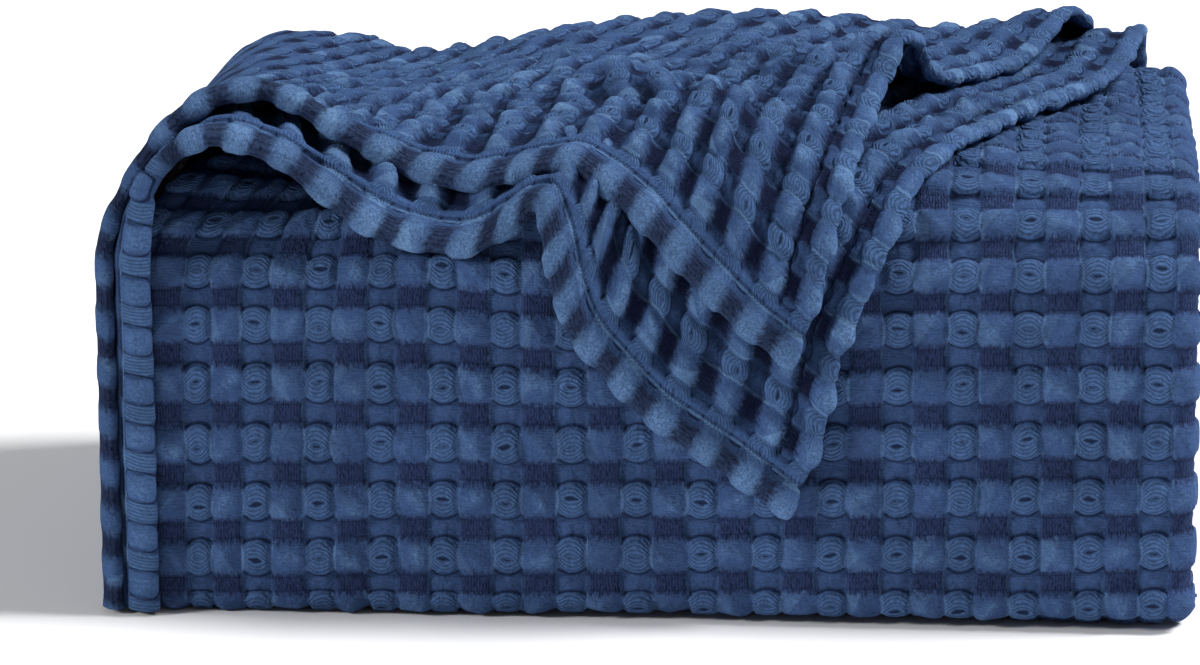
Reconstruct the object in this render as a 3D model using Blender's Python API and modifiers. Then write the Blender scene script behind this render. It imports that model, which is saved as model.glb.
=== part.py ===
"""Folded waffle weave blanket, modelled as the layers that it is folded into.

The stack is one length of cloth that runs back and forth: forward along the top, round the
front, back along the bottom, round a small turn at the back, and again inside that, down to
the middle. Two hemmed top sheets, one on the other, cover the stack and hang down its left
side. Their free corner is drawn down over the front, the upper one less far than the lower.

Frame: metres, +X right, +Y to the back, +Z up, the origin under the middle of the footprint.
Until the last step everything is worked out in the stack's own frame, where the stack's front
face is at STACK_FRONT.

A place on a top sheet is given by three lengths. across is the X that it would have on the
flat top; past the left edge it runs on down the left side. up starts at the floor in front,
runs up the front face, round the shoulder and back along the top; past the back edge it runs
on down the back. lift is the height of the sheet's middle above the stack.
"""

import math

import bpy
import numpy as np

OBJECT_NAME = "blanket"
HELPERS_NAME = "top sheets before joining"

# The stack, in metres.
STACK_LEFT = -0.200
STACK_RIGHT = 0.2055
STACK_FRONT = -0.140
STACK_BACK = 0.140
STACK_HEIGHT = 0.171
SHOULDER_RADIUS = 0.060
FRONT_FOOT_RADIUS = 0.022
BACK_ROUNDING = 0.018
LEFT_TOP_ROUNDING = 0.042

# The cloth.
NESTED_FOLDS = 14
CLOTH = 0.0032
SHORTEST_EDGE = 0.0005

# How the top sheets go round the stack's left side.
SIDE_BEND_RADIUS = 0.038
SIDE_CORNER_RADIUS = 0.010
TENT_STARTS_ACROSS = -0.095
TENT_IS_FULL_ACROSS = -0.140
SIDE_FOOT_GAP = 0.0015
TUCK_STARTS = 0.965
DEEPEST_TROUGH = 0.0008

# Lengths along the stack's outside, worked out from the sizes above.
UP_SHOULDER = STACK_HEIGHT - SHOULDER_RADIUS
UP_TOP = UP_SHOULDER + SHOULDER_RADIUS * math.pi / 2
UP_BACK = UP_TOP + (STACK_BACK - STACK_FRONT) - SHOULDER_RADIUS - BACK_ROUNDING
UP_BEHIND = UP_BACK + BACK_ROUNDING * math.pi / 2
ACROSS_BEND = STACK_LEFT + SIDE_BEND_RADIUS
ACROSS_SIDE = ACROSS_BEND - SIDE_BEND_RADIUS * math.pi / 2
ACROSS_FOOT = ACROSS_SIDE - (STACK_HEIGHT - SIDE_BEND_RADIUS - SIDE_FOOT_GAP)
UP_CORNER = SIDE_CORNER_RADIUS + UP_TOP - SHOULDER_RADIUS

# The stack's top is uneven. Columns: x, rise of the top there.
TOP_RISE = (
    (-0.260, 0.000),
    (-0.182, 0.001),
    (-0.150, -0.006),
    (-0.122, -0.011),
    (-0.080, -0.004),
    (-0.040, 0.004),
    (0.030, 0.009),
    (0.100, 0.004),
    (0.160, 0.000),
    (0.260, -0.002),
)

# Where the left hem of each sheet runs, from the free corner to the floor at the left.
# Columns: across, up, lift.
LOWER_LEFT_HEM = (
    (0.052, 0.043, 0.005),
    (0.031, 0.057, 0.005),
    (0.001, 0.077, 0.006),
    (-0.016, 0.095, 0.008),
    (-0.027, 0.109, 0.011),
    (-0.034, 0.124, 0.013),
    (-0.038, 0.138, 0.014),
    (-0.043, 0.152, 0.014),
    (-0.053, 0.148, 0.009),
    (-0.067, 0.143, 0.007),
    (-0.083, 0.146, 0.006),
    (-0.096, 0.150, 0.007),
    (-0.112, 0.151, 0.011),
    (-0.130, 0.150, 0.013),
    (-0.146, 0.150, 0.017),
    (-0.162, 0.148, 0.019),
    (-0.176, 0.145, 0.013),
    (-0.192, 0.140, 0.007),
    (-0.216, 0.134, 0.005),
    (ACROSS_FOOT, 0.132, 0.005),
)
UPPER_LEFT_HEM = (
    (0.053, 0.100, 0.011),
    (0.041, 0.108, 0.011),
    (0.027, 0.118, 0.011),
    (0.010, 0.132, 0.011),
    (-0.006, 0.148, 0.011),
    (-0.018, 0.158, 0.011),
    (-0.032, 0.168, 0.012),
    (-0.048, 0.167, 0.012),
    (-0.071, 0.166, 0.012),
    (-0.091, 0.174, 0.014),
    (-0.107, 0.177, 0.023),
    (-0.127, 0.175, 0.031),
    (-0.147, 0.172, 0.036),
    (-0.160, 0.168, 0.033),
    (-0.172, 0.162, 0.023),
    (-0.186, 0.154, 0.014),
    (-0.203, 0.148, 0.010),
    (-0.222, 0.145, 0.009),
    (ACROSS_FOOT, 0.143, 0.009),
)

# Where the right hem of each sheet runs, from the free corner to the stack's back edge.
LOWER_RIGHT_HEM = (
    (0.052, 0.043, 0.005),
    (0.062, 0.063, 0.005),
    (0.069, 0.092, 0.005),
    (0.075, 0.112, 0.005),
    (0.087, 0.138, 0.006),
    (0.101, 0.169, 0.006),
    (0.122, 0.208, 0.006),
    (0.142, 0.270, 0.006),
    (0.162, 0.308, 0.007),
    (0.178, 0.352, 0.009),
    (0.188, 0.405, 0.016),
    (0.190, 0.453, 0.008),
)
UPPER_RIGHT_HEM = (
    (0.053, 0.100, 0.011),
    (0.061, 0.116, 0.011),
    (0.067, 0.138, 0.012),
    (0.072, 0.154, 0.013),
    (0.077, 0.176, 0.012),
    (0.083, 0.205, 0.013),
    (0.090, 0.232, 0.026),
    (0.098, 0.252, 0.030),
    (0.106, 0.272, 0.015),
    (0.122, 0.306, 0.012),
    (0.140, 0.340, 0.013),
    (0.152, 0.368, 0.022),
    (0.160, 0.390, 0.026),
    (0.168, 0.420, 0.015),
    (0.174, 0.478, 0.010),
)

# Where each sheet ends at the back. There it turns in between the layers of the stack.
LOWER_BACK_EDGE = (
    (0.190, 0.453, -0.007),
    (0.080, 0.453, -0.007),
    (-0.045, 0.453, -0.007),
    (-0.075, 0.449, -0.002),
    (-0.105, 0.440, 0.004),
    (-0.135, 0.426, 0.005),
    (-0.170, 0.414, 0.005),
    (-0.230, 0.410, 0.005),
    (ACROSS_FOOT, 0.410, 0.005),
)
UPPER_BACK_EDGE = (
    (0.174, 0.478, -0.007),
    (0.080, 0.478, -0.007),
    (-0.045, 0.478, -0.007),
    (-0.075, 0.472, 0.000),
    (-0.105, 0.457, 0.008),
    (-0.135, 0.436, 0.0105),
    (-0.170, 0.420, 0.0105),
    (-0.230, 0.416, 0.010),
    (ACROSS_FOOT, 0.416, 0.009),
)

# Soft ridges (+) and troughs (-) of the sheets.
# Columns: from across, from up, to across, to up, width, height.
LOWER_CREASES = (
    (0.030, 0.100, 0.078, 0.170, 0.009, 0.002),
)
UPPER_CREASES = (
    (-0.024, 0.340, 0.006, 0.262, 0.010, -0.002),
    (0.006, 0.262, 0.042, 0.212, 0.010, -0.002),
    (-0.050, 0.330, -0.016, 0.248, 0.014, 0.004),
    (-0.016, 0.248, 0.024, 0.196, 0.013, 0.005),
    (0.024, 0.196, 0.036, 0.150, 0.012, 0.004),
    (0.020, 0.330, 0.048, 0.262, 0.015, 0.005),
    (0.048, 0.262, 0.070, 0.215, 0.012, 0.005),
    (-0.060, 0.380, 0.070, 0.390, 0.022, 0.003),
    (0.088, 0.238, 0.062, 0.262, 0.012, 0.006),
)


def smooth_step(value, low, high):
    """0 below low, 1 above high, and a smooth rise between them."""
    share = np.clip((value - low) / (high - low), 0.0, 1.0)
    return share * share * (3.0 - 2.0 * share)


def top_rise(x):
    """How far the stack's top stands above or below its nominal height at x."""
    places, rises = np.array(TOP_RISE).T
    fine = np.linspace(places[0], places[-1], 200)
    spread = np.exp(-(((fine[:, None] - fine) / 0.025) ** 2))
    soft = spread @ np.interp(fine, places, rises) / spread.sum(axis=1)
    return np.interp(x, fine, soft)


def settle(points):
    """Lets the cloth sink and rise with the stack's top. The floor stays flat."""
    settled = points.copy()
    settled[..., 2] *= 1.0 + top_rise(points[..., 0]) / STACK_HEIGHT
    return settled


def arc(centre_y, centre_z, radius, start, end, steps):
    """Points on an arc in the section, from angle start to angle end, both included."""
    angles = np.linspace(start, end, steps + 1)
    return [(centre_y + radius * math.cos(a), centre_z + radius * math.sin(a)) for a in angles]


def back_limit(layers_in, pitch, top_side):
    """How far back a turn reaches: rounded at the stack's top and bottom, and uneven."""
    edge_distance = CLOTH / 2 + max(0.0, layers_in) * pitch
    from_edge = max(0.0, BACK_ROUNDING - edge_distance)
    rounding = BACK_ROUNDING - math.sqrt(BACK_ROUNDING**2 - from_edge**2)
    uneven = 0.0018 * (1.0 + math.sin(1.9 * layers_in + (0.5 if top_side else 2.6)))
    return STACK_BACK - pitch / 2 - CLOTH / 2 - rounding - uneven


def nested_fold(fold, pitch):
    """One fold of the section, from the back end of its top run to that of its bottom run.

    Its top run turns at the back into the run above or below it, and so does its bottom run,
    so the runs of each such pair end at the same place.
    """
    inward = CLOTH / 2 + fold * pitch
    front, top, bottom = STACK_FRONT + inward, STACK_HEIGHT - inward, inward
    span = top - bottom
    shoulder = min(max(pitch / 2, SHOULDER_RADIUS - inward), span / 2)
    foot = min(max(pitch / 2, FRONT_FOOT_RADIUS - inward), span - shoulder)
    steps = 7 if fold < 4 else 5
    run = [(back_limit(2 * ((fold + 1) // 2) - 0.5, pitch, True), top)]
    run += arc(front + shoulder, top - shoulder, shoulder, math.pi / 2, math.pi, steps)
    run += arc(front + foot, bottom + foot, foot, math.pi, 1.5 * math.pi, 4)
    run.append((back_limit(2 * (fold // 2) + 0.5, pitch, False), bottom))
    return run


def stack_section():
    """The whole length of folded cloth as points (y, z): back and forth, folded inwards."""
    pitch = (STACK_HEIGHT - CLOTH) / (2 * NESTED_FOLDS - 1)
    section = []
    for fold in range(NESTED_FOLDS):
        run = nested_fold(fold, pitch)
        if fold % 2:
            run.reverse()
        if section:
            last, following = section[-1], run[0]
            sense = 1.0 if following[1] > last[1] else -1.0
            turn = arc(last[0], (last[1] + following[1]) / 2, pitch / 2,
                       -sense * math.pi / 2, sense * math.pi / 2, 4)
            section += turn[1:-1]
        section += run
    return without_short_edges(np.array(section))


def without_short_edges(line):
    """The line without the points that nearly touch the one before."""
    lengths = np.linalg.norm(np.diff(line, axis=0), axis=1)
    return line[np.concatenate([[True], lengths > SHORTEST_EDGE])]


def left_end(z):
    """Where the layer at height z ends at the left: the stack's top edge is rounded."""
    from_edge = np.clip(LEFT_TOP_ROUNDING - (STACK_HEIGHT - z), 0.0, LEFT_TOP_ROUNDING)
    return STACK_LEFT + LEFT_TOP_ROUNDING - np.sqrt(LEFT_TOP_ROUNDING**2 - from_edge**2)


def stack_point(along, across_share, section):
    """A point of the folded cloth: along counts the section's points, 0 to 1 runs left to right."""
    y, z = section[along, 0], section[along, 1]
    uneven = 0.0012 * np.sin(along * 0.37)
    left, right = left_end(z) + uneven, STACK_RIGHT - 0.0015 + uneven
    x = left + (right - left) * across_share
    return np.stack([x, y, z], axis=-1)


def smooth_route(table, count_per_span=24):
    """A smooth line through a table's rows: its points and how far along it each is, 0 to 1."""
    rows = np.array(table)
    padded = np.vstack([2 * rows[0] - rows[1], rows, 2 * rows[-1] - rows[-2]])
    t = np.linspace(0.0, 1.0, count_per_span, endpoint=False)[:, None]
    spans = []
    for before, start, end, after in zip(padded, padded[1:], padded[2:], padded[3:]):
        spans.append(0.5 * (2 * start + (end - before) * t
                            + (2 * before - 5 * start + 4 * end - after) * t**2
                            + (3 * start - before - 3 * end + after) * t**3))
    line = np.vstack(spans + [rows[-1:]])
    lengths = np.concatenate([[0.0], np.cumsum(np.linalg.norm(np.diff(line, axis=0), axis=1))])
    return line, lengths / lengths[-1]


def along_route(route, shares):
    """The points of a route at the given shares of its length."""
    line, places = route
    return np.stack([np.interp(shares, places, line[:, k]) for k in range(3)], axis=-1)


def over_the_stack(up, lift):
    """y and z of a sheet that lies on the front, the shoulder, the top and the back."""
    shoulder = np.clip((up - UP_SHOULDER) / SHOULDER_RADIUS, 0.0, math.pi / 2)
    behind = np.clip((up - UP_BACK) / BACK_ROUNDING, 0.0, math.pi / 2)
    y = STACK_FRONT + SHOULDER_RADIUS - (SHOULDER_RADIUS + lift) * np.cos(shoulder)
    z = np.minimum(up, UP_SHOULDER) + (SHOULDER_RADIUS + lift) * np.sin(shoulder)
    y = y + np.clip(up - UP_TOP, 0.0, UP_BACK - UP_TOP) + (BACK_ROUNDING + lift) * np.sin(behind)
    z = z - (BACK_ROUNDING + lift) * (1.0 - np.cos(behind)) - np.maximum(up - UP_BEHIND, 0.0)
    return y, z


def lay(across, up, lift):
    """The place of a sheet's point in the stack's frame."""
    y_on, z_on = over_the_stack(up, lift)
    y_flat = STACK_FRONT + SHOULDER_RADIUS + (up - UP_TOP)
    tent = smooth_step(-across, -TENT_STARTS_ACROSS, -TENT_IS_FULL_ACROSS)
    y = y_on + (y_flat - y_on) * tent
    z = z_on + (STACK_HEIGHT + lift - z_on) * tent

    bend = np.clip((ACROSS_BEND - across) / SIDE_BEND_RADIUS, 0.0, math.pi / 2)
    x = np.maximum(across, ACROSS_BEND) - (SIDE_BEND_RADIUS + lift) * np.sin(bend)
    z = z - (SIDE_BEND_RADIUS + lift) * (1.0 - np.cos(bend)) - np.maximum(ACROSS_SIDE - across, 0.0)

    past = np.maximum(UP_CORNER - up, 0.0)
    corner = np.clip(past / SIDE_CORNER_RADIUS, 0.0, math.pi / 2)
    round_x = SIDE_CORNER_RADIUS - (SIDE_CORNER_RADIUS + lift) * np.cos(corner)
    round_x = round_x + lift + np.maximum(past - SIDE_CORNER_RADIUS * math.pi / 2, 0.0)
    round_y = STACK_FRONT + SIDE_CORNER_RADIUS - (SIDE_CORNER_RADIUS + lift) * np.sin(corner)
    turned = smooth_step(bend, 0.3, 1.4) * (past > 0.0)
    x = x + turned * round_x
    y = y + turned * (round_y - y)
    return np.stack([x, y, z], axis=-1)


def crease_height(across, up, creases):
    """The sum of a sheet's soft ridges and troughs."""
    height = np.zeros_like(across)
    for from_across, from_up, to_across, to_up, width, size in creases:
        run = np.array([to_across - from_across, to_up - from_up])
        share = ((across - from_across) * run[0] + (up - from_up) * run[1]) / (run @ run)
        share = np.clip(share, 0.0, 1.0)
        distance = np.hypot(across - from_across - share * run[0], up - from_up - share * run[1])
        height = height + size * np.exp(-((distance / width) ** 2))
    return height


def sheet_point(p, q, left_hem, right_hem, back_edge, creases, resting_lift):
    """A point of a top sheet: p runs along the left hem, q from that hem to the back edge."""
    hem = along_route(left_hem, p)
    side = along_route(right_hem, q)
    back = along_route(back_edge, p)
    corner, foot, far = hem_end(left_hem, 0.0), hem_end(left_hem, 1.0), hem_end(right_hem, 1.0)
    straight_hem = corner + (foot - corner) * p[..., None]
    straight_side = corner + (far - corner) * q[..., None]

    step = 0.03
    ahead = along_route(left_hem, np.clip(p + step, 0.0, 1.0))
    heading = ahead - along_route(left_hem, np.clip(p - step, 0.0, 1.0))
    heading = heading[..., :2] / np.linalg.norm(heading[..., :2], axis=-1, keepdims=True)
    square = np.stack([heading[..., 1], -heading[..., 0]], axis=-1)
    column = (back - straight_hem)[..., :2]
    reach = np.linalg.norm(column, axis=-1, keepdims=True)
    squaring = smooth_step(p, 0.0, 0.12) * smooth_step(1.0 - p, 0.0, 0.25) * 0.8 * q * (1 - q) ** 3

    place = straight_hem + (back - straight_hem) * q[..., None]
    place = place + (hem - straight_hem) * (1.0 - smooth_step(q, 0.0, 0.8))[..., None]
    place = place + (side - straight_side) * ((1.0 - p) ** 2)[..., None]
    across = place[..., 0] + squaring * (square * reach - column)[..., 0]
    up = place[..., 1] + squaring * (square * reach - column)[..., 1]

    from_hem = q * reach[..., 0]
    from_side = p * np.linalg.norm((foot - corner)[:2])
    near_hem = 1.0 - smooth_step(from_hem, 0.0, 0.065)
    near_side = (1.0 - smooth_step(from_side, 0.0, 0.050)) * (1.0 - near_hem)
    tuck = smooth_step(q, TUCK_STARTS, 1.0)
    lift = resting_lift + near_hem * (hem[..., 2] - resting_lift)
    lift = lift + near_side * (side[..., 2] - resting_lift)
    lift = lift + crease_height(across, up, creases)
    lift = np.maximum(lift, resting_lift - DEEPEST_TROUGH)
    lift = lift + tuck * (back[..., 2] - lift)
    return lay(across, up, lift)


def hem_end(route, share):
    """One end of a route, as a single point."""
    return along_route(route, np.array(share))


def cloth_object(name, place, columns, rows, collection):
    """A thin solid sheet: a grid of columns by rows cells, put in place, then thickened.

    place gives the points for two arrays of grid numbers, columns first.
    """
    bpy.ops.mesh.primitive_grid_add(x_subdivisions=columns, y_subdivisions=rows, size=2.0)
    sheet = bpy.context.object
    sheet.name = name
    count = len(sheet.data.vertices)
    flat = np.empty(count * 3)
    sheet.data.vertices.foreach_get("co", flat)
    flat = flat.reshape(-1, 3)
    column = np.rint((flat[:, 0] + 1.0) / 2.0 * columns).astype(int)
    row = np.rint((flat[:, 1] + 1.0) / 2.0 * rows).astype(int)
    sheet.data.vertices.foreach_set("co", place(column, row).ravel())
    for owner in list(sheet.users_collection):
        owner.objects.unlink(sheet)
    collection.objects.link(sheet)
    thickness = sheet.modifiers.new("cloth", "SOLIDIFY")
    thickness.thickness = CLOTH
    thickness.offset = 0.0
    return sheet


def build_stack(collection):
    """The folded length of cloth."""
    section = stack_section()
    strips = 4

    def place(along, station):
        return settle(stack_point(along, station / strips, section))

    return cloth_object(OBJECT_NAME, place, len(section) - 1, strips, collection)


def build_top_sheet(name, tables, resting_lift, collection):
    """One of the two sheets on top, with its hems, its hanging side and its free corner."""
    left_table, right_table, back_table, creases = tables
    left_hem, right_hem = smooth_route(left_table), smooth_route(right_table)
    back_edge = smooth_route(back_table)
    columns, rows = 38, 16

    def place(column, row):
        p = column / columns
        q = np.where(row < rows, TUCK_STARTS * (row / (rows - 1)) ** 1.3, 1.0)
        point = sheet_point(p, q, left_hem, right_hem, back_edge, creases, resting_lift)
        return settle(point)

    return cloth_object(name, place, columns, rows, collection)


def cotton():
    """The blanket's material: blue cotton."""
    material = bpy.data.materials.new("blue_cotton")
    material.use_nodes = True
    shader = material.node_tree.nodes["Principled BSDF"]
    shader.inputs["Base Color"].default_value = (0.030, 0.090, 0.225, 1.0)
    shader.inputs["Roughness"].default_value = 0.9
    shader.inputs["Metallic"].default_value = 0.0
    return material


def join_into(body, sheet):
    """Joins a sheet to the body where its back edge runs in between the folded layers."""
    union = body.modifiers.new("join " + sheet.name, "BOOLEAN")
    union.operation = "UNION"
    union.solver = "EXACT"
    union.object = sheet
    sheet.hide_render = True
    sheet.display_type = "WIRE"


def stand_on_origin(body, helpers):
    """Moves everything so that the origin is under the middle of the blanket's footprint."""
    bpy.context.view_layer.update()
    evaluated = body.evaluated_get(bpy.context.evaluated_depsgraph_get())
    box = np.array([list(corner) for corner in evaluated.bound_box])
    low, high = box.min(axis=0), box.max(axis=0)
    shift = np.array([(low[0] + high[0]) / 2, (low[1] + high[1]) / 2, low[2]])
    for item in [body, *helpers]:
        points = np.empty(len(item.data.vertices) * 3)
        item.data.vertices.foreach_get("co", points)
        item.data.vertices.foreach_set("co", (points.reshape(-1, 3) - shift).ravel())
        item.data.update()


def main():
    """Builds the blanket in a collection of its own."""
    for old in list(bpy.data.objects):
        bpy.data.objects.remove(old, do_unlink=True)
    parts = bpy.data.collections.new(OBJECT_NAME)
    helpers = bpy.data.collections.new(HELPERS_NAME)
    for collection in (parts, helpers):
        bpy.context.scene.collection.children.link(collection)

    blanket = build_stack(parts)
    lower = build_top_sheet(
        "lower_top_sheet",
        (LOWER_LEFT_HEM, LOWER_RIGHT_HEM, LOWER_BACK_EDGE, LOWER_CREASES), 0.005, helpers)
    upper = build_top_sheet(
        "upper_top_sheet",
        (UPPER_LEFT_HEM, UPPER_RIGHT_HEM, UPPER_BACK_EDGE, UPPER_CREASES), 0.0105, helpers)
    for sheet in (lower, upper):
        join_into(blanket, sheet)
    stand_on_origin(blanket, (lower, upper))
    blanket.data.materials.append(cotton())


main()
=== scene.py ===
"""The looks of a folded waffle weave blanket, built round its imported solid.

The blanket is one piece of cotton cloth. A long run of it is folded back and forth into a
stack, and two hemmed sheets of it lie over the stack, hang down its left side and draw one
free corner down over the front. Every run of cloth here is a fine grid laid on the folds of
the solid and raised into the weave. The weave repeats four cells: a bulging pad, an eye of
loose threads beside it, a rib of crossing threads below it, and a sunken pad below the eye.

Lengths are in metres, +X is right, +Y is back and +Z is up. A place on the cloth is (s, t):
s runs across the eyes and t along the ribs. The UV map of every piece holds that place, so
that the finish lies on the relief.
"""

from __future__ import annotations

import logging
import math
from dataclasses import dataclass
from enum import Enum

import bpy
import numpy as np
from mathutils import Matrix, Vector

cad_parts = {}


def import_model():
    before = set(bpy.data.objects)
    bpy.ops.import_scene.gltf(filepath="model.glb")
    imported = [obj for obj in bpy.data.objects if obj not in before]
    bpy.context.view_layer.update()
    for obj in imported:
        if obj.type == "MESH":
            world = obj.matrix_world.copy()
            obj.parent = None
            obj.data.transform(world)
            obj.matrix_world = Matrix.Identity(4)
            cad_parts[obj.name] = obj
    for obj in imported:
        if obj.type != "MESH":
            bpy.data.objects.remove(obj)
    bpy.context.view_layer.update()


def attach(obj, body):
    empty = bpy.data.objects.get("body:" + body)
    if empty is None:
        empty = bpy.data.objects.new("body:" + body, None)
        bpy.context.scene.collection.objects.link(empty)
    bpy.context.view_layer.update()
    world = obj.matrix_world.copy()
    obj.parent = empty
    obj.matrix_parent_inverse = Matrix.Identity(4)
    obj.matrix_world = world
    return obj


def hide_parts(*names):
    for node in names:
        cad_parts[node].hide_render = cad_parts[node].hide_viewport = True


LOG = logging.getLogger("blanket")
Array = np.ndarray
Table = tuple[tuple[float, ...], ...]

NODE = "blanket"
BODY = "root"

# The stack's own frame, in which its sizes are given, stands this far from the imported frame.
STACK_FRAME = np.array([0.0034, -0.0020, 0.0])

# Millimetres in a metre.
MM = 1000.0

Socket = bpy.types.NodeSocket
Value = "Signal | Socket | float"
Colour = tuple[float, float, float]


def smooth_step(value: Array, low: float, high: float) -> Array:
    """Rises smoothly from 0 at low to 1 at high."""
    share = np.clip((value - low) / (high - low), 0.0, 1.0)
    return share * share * (3.0 - 2.0 * share)


def plateau(distance: Array, half: float, soft: float) -> Array:
    """Is 1 within half of the middle and falls smoothly to 0 over the width soft."""
    return 1.0 - smooth_step(np.abs(distance), half - soft / 2, half + soft / 2)


def cell_noise(column: Array, row: Array, seed: float) -> Array:
    """Gives each cell of the weave a steady number from 0 to 1, another one for each seed."""
    mixed = np.sin(column * 12.9898 + row * 78.233 + seed * 37.719) * 43758.5453
    return mixed - np.floor(mixed)


def drift(s: Array, t: Array, seed: float) -> Array:
    """Wanders slowly over the cloth, a few repeats to a wave.

    Args:
        s: Places across the eyes.
        t: Places along the ribs.
        seed: Sets one wandering apart from the next.

    Returns:
        Numbers from -1 to 1.
    """
    first = np.sin(s * 41.0 + seed) * np.cos(t * 37.0 - 1.7 * seed)
    second = np.sin(s * 87.0 - t * 63.0 + 2.3 * seed)
    third = np.cos(t * 112.0 + s * 29.0 + 0.9 * seed)
    return (first + 0.6 * second + 0.5 * third) / 2.1


@dataclass(frozen=True)
class Weave:
    """The repeat of the waffle weave and how far each of its cells stands out.

    Attributes:
        eye_pitch: From one eye to the next.
        rib_pitch: From one rib to the next.
        pad_width: Width of a pad, across.
        rib_width: Width of a rib, across.
        pad_height: Height of a pad, along the ribs.
        pad_rise: How far a pad's rim stands out.
        pad_dome: How much further its middle bulges.
        pad_square: How square it is: 2 is round.
        pad_tilt: How far a pad may lean to a side, as rise over run.
        pad_crease: How steep the soft crease over a pad is, as rise over run.
        rib_rise: How far a rib stands out.
        rib_round: How much lower its sides are than its middle.
        eye_rise: How far the middle of an eye stands out.
        eye_sink: How far its ends lie in.
        eye_slit: How deep the slit in an eye is.
        eye_short: How much of a pad's half height an eye's sides lack.
        eye_fan: How much further its middle reaches than its sides.
        eye_wander: How far apart the eyes' middles may lie, along the ribs.
        pit_depth: How far the rim of a sunken pad lies in.
        pit_dome: How much its middle bulges back.
        edge: Width of the slope from cell to cell.
        crumple: Height of the small creases over it.
        framed_half: Half the width and height of a sunken pad that lies framed in a hem.
        closed_edge: How far from the right edge the eyes have no slit.
        blur: How softly the cells' colours run into each other, 1 for the taut cloth.
        label: Tells the taut weave from the loose one.
    """

    eye_pitch: float = 0.02424
    rib_pitch: float = 0.0216
    pad_width: float = 0.0151
    rib_width: float = 0.0116
    pad_height: float = 0.0132
    pad_rise: float = -0.0004
    pad_dome: float = 0.0024
    pad_square: float = 3.0
    pad_tilt: float = 0.12
    pad_crease: float = 0.30
    rib_rise: float = -0.0013
    rib_round: float = 0.0005
    eye_rise: float = 0.0015
    eye_sink: float = 0.0012
    eye_slit: float = 0.0006
    eye_short: float = 0.0018
    eye_fan: float = 0.0020
    eye_wander: float = 0.0012
    pit_depth: float = 0.0033
    pit_dome: float = 0.0012
    edge: float = 0.0017
    crumple: float = 0.0003
    framed_half: tuple[float, float] = (0.0049, 0.0043)
    closed_edge: float = 0.0
    blur: float = 1.0
    label: str = "taut"

    def relief(self, s: Array, t: Array) -> Array:
        """Works out how far the cloth stands out of its middle surface.

        Args:
            s: Places across the eyes.
            t: Places along the ribs.

        Returns:
            Heights, with the pads and eyes above 0 and the sunken pads below.
        """
        column, row = np.round(s / self.eye_pitch), np.round(t / self.rib_pitch)
        eye_column = np.floor(s / self.eye_pitch)
        a = s - column * self.eye_pitch
        b = t - row * self.rib_pitch
        eye_a, pit_b = self.from_pit(s, t)
        eye_b = b + (cell_noise(eye_column, row, 3.0) - 0.5) * self.eye_wander

        towards_rib = 0.5 - 0.5 * np.cos(2 * math.pi * b / self.rib_pitch)
        half_column = (self.pad_width - (self.pad_width - self.rib_width) * towards_rib) / 2
        half_gap = self.eye_pitch / 2 - half_column
        fan = np.cos(np.clip(eye_a / half_gap, -1.0, 1.0) * math.pi / 2)
        half_eye = self.pad_height / 2 - self.eye_short + self.eye_fan * fan
        in_column = plateau(a, half_column, self.edge)
        in_row = plateau(b, self.pad_height / 2, self.edge * 1.5)
        in_eye = plateau(eye_b, half_eye, self.edge)

        across = np.clip(1.0 - (np.abs(a) / half_column) ** self.pad_square, 0, 1)
        pad = self.pad_relief(a, b, across, column, row) - self.crumple * self.creases(s, t)
        rib = self.rib_rise - self.rib_round * (1 - across)
        eye_round = np.sqrt(np.clip(1.0 - (eye_b / (half_eye + self.eye_sink)) ** 2, 0, 1))
        eye = (self.eye_rise + self.eye_sink) * eye_round - self.eye_sink
        eye = eye - self.eye_slit * plateau(eye_b, 0.0009, 0.0012) * fan**2
        pit_round = fan * np.clip(np.cos(pit_b / self.rib_pitch * math.pi * 1.8), 0, 1)
        lively = cell_noise(column, row, 1.0)
        pit = -self.pit_depth + self.pit_dome * (0.6 + 0.8 * lively) * pit_round
        return in_column * (in_row * pad + (1 - in_row) * rib) + (1 - in_column) * (
            in_eye * eye + (1 - in_eye) * pit)

    def from_pit(self, s: Array, t: Array) -> tuple[Array, Array]:
        """Gives how far places are from the middle of their sunken pad, across and along."""
        return (s - (np.floor(s / self.eye_pitch) + 0.5) * self.eye_pitch,
                t - (np.floor(t / self.rib_pitch) + 0.5) * self.rib_pitch)

    def pad_relief(self, a: Array, b: Array, across: Array, column: Array, row: Array) -> Array:
        """Works out a pad's dome, its lean and its soft crease.

        Args:
            a, b: Distances from its middle, across and along.
            across: How full the dome is across, 1 in its middle and 0 at its sides.
            column, row: The pads' numbers.

        Returns:
            Heights.
        """
        lively = cell_noise(column, row, 1.0)
        lean_a = (cell_noise(column, row, 5.0) - 0.5) * 2 * self.pad_tilt
        lean_b = (cell_noise(column, row, 9.0) - 0.5) * 2 * self.pad_tilt
        along = np.clip(1.0 - (np.abs(b) / self.pad_height * 2) ** self.pad_square, 0, 1)
        turn = 2 * math.pi * cell_noise(column, row, 13.0)
        from_crease = a * np.cos(turn) + b * np.sin(turn) - 0.004 * (lively - 0.5)
        crease = self.pad_crease * (0.0024 - np.sqrt(from_crease**2 + 0.0004**2))
        return self.pad_rise + (across * along) ** 0.62 * (
            self.pad_dome * (0.72 + 0.56 * lively) + crease) + lean_a * a + lean_b * b

    @staticmethod
    def creases(s: Array, t: Array) -> Array:
        """Draws small sharp creases that wander over the cloth, 0 to 2."""
        creases = np.abs(np.sin(310.0 * s + 2.2 * np.sin(190.0 * t + 70.0 * s)))
        return creases + np.abs(np.sin(260.0 * t - 150.0 * s + 1.8 * np.sin(230.0 * s)))

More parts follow.
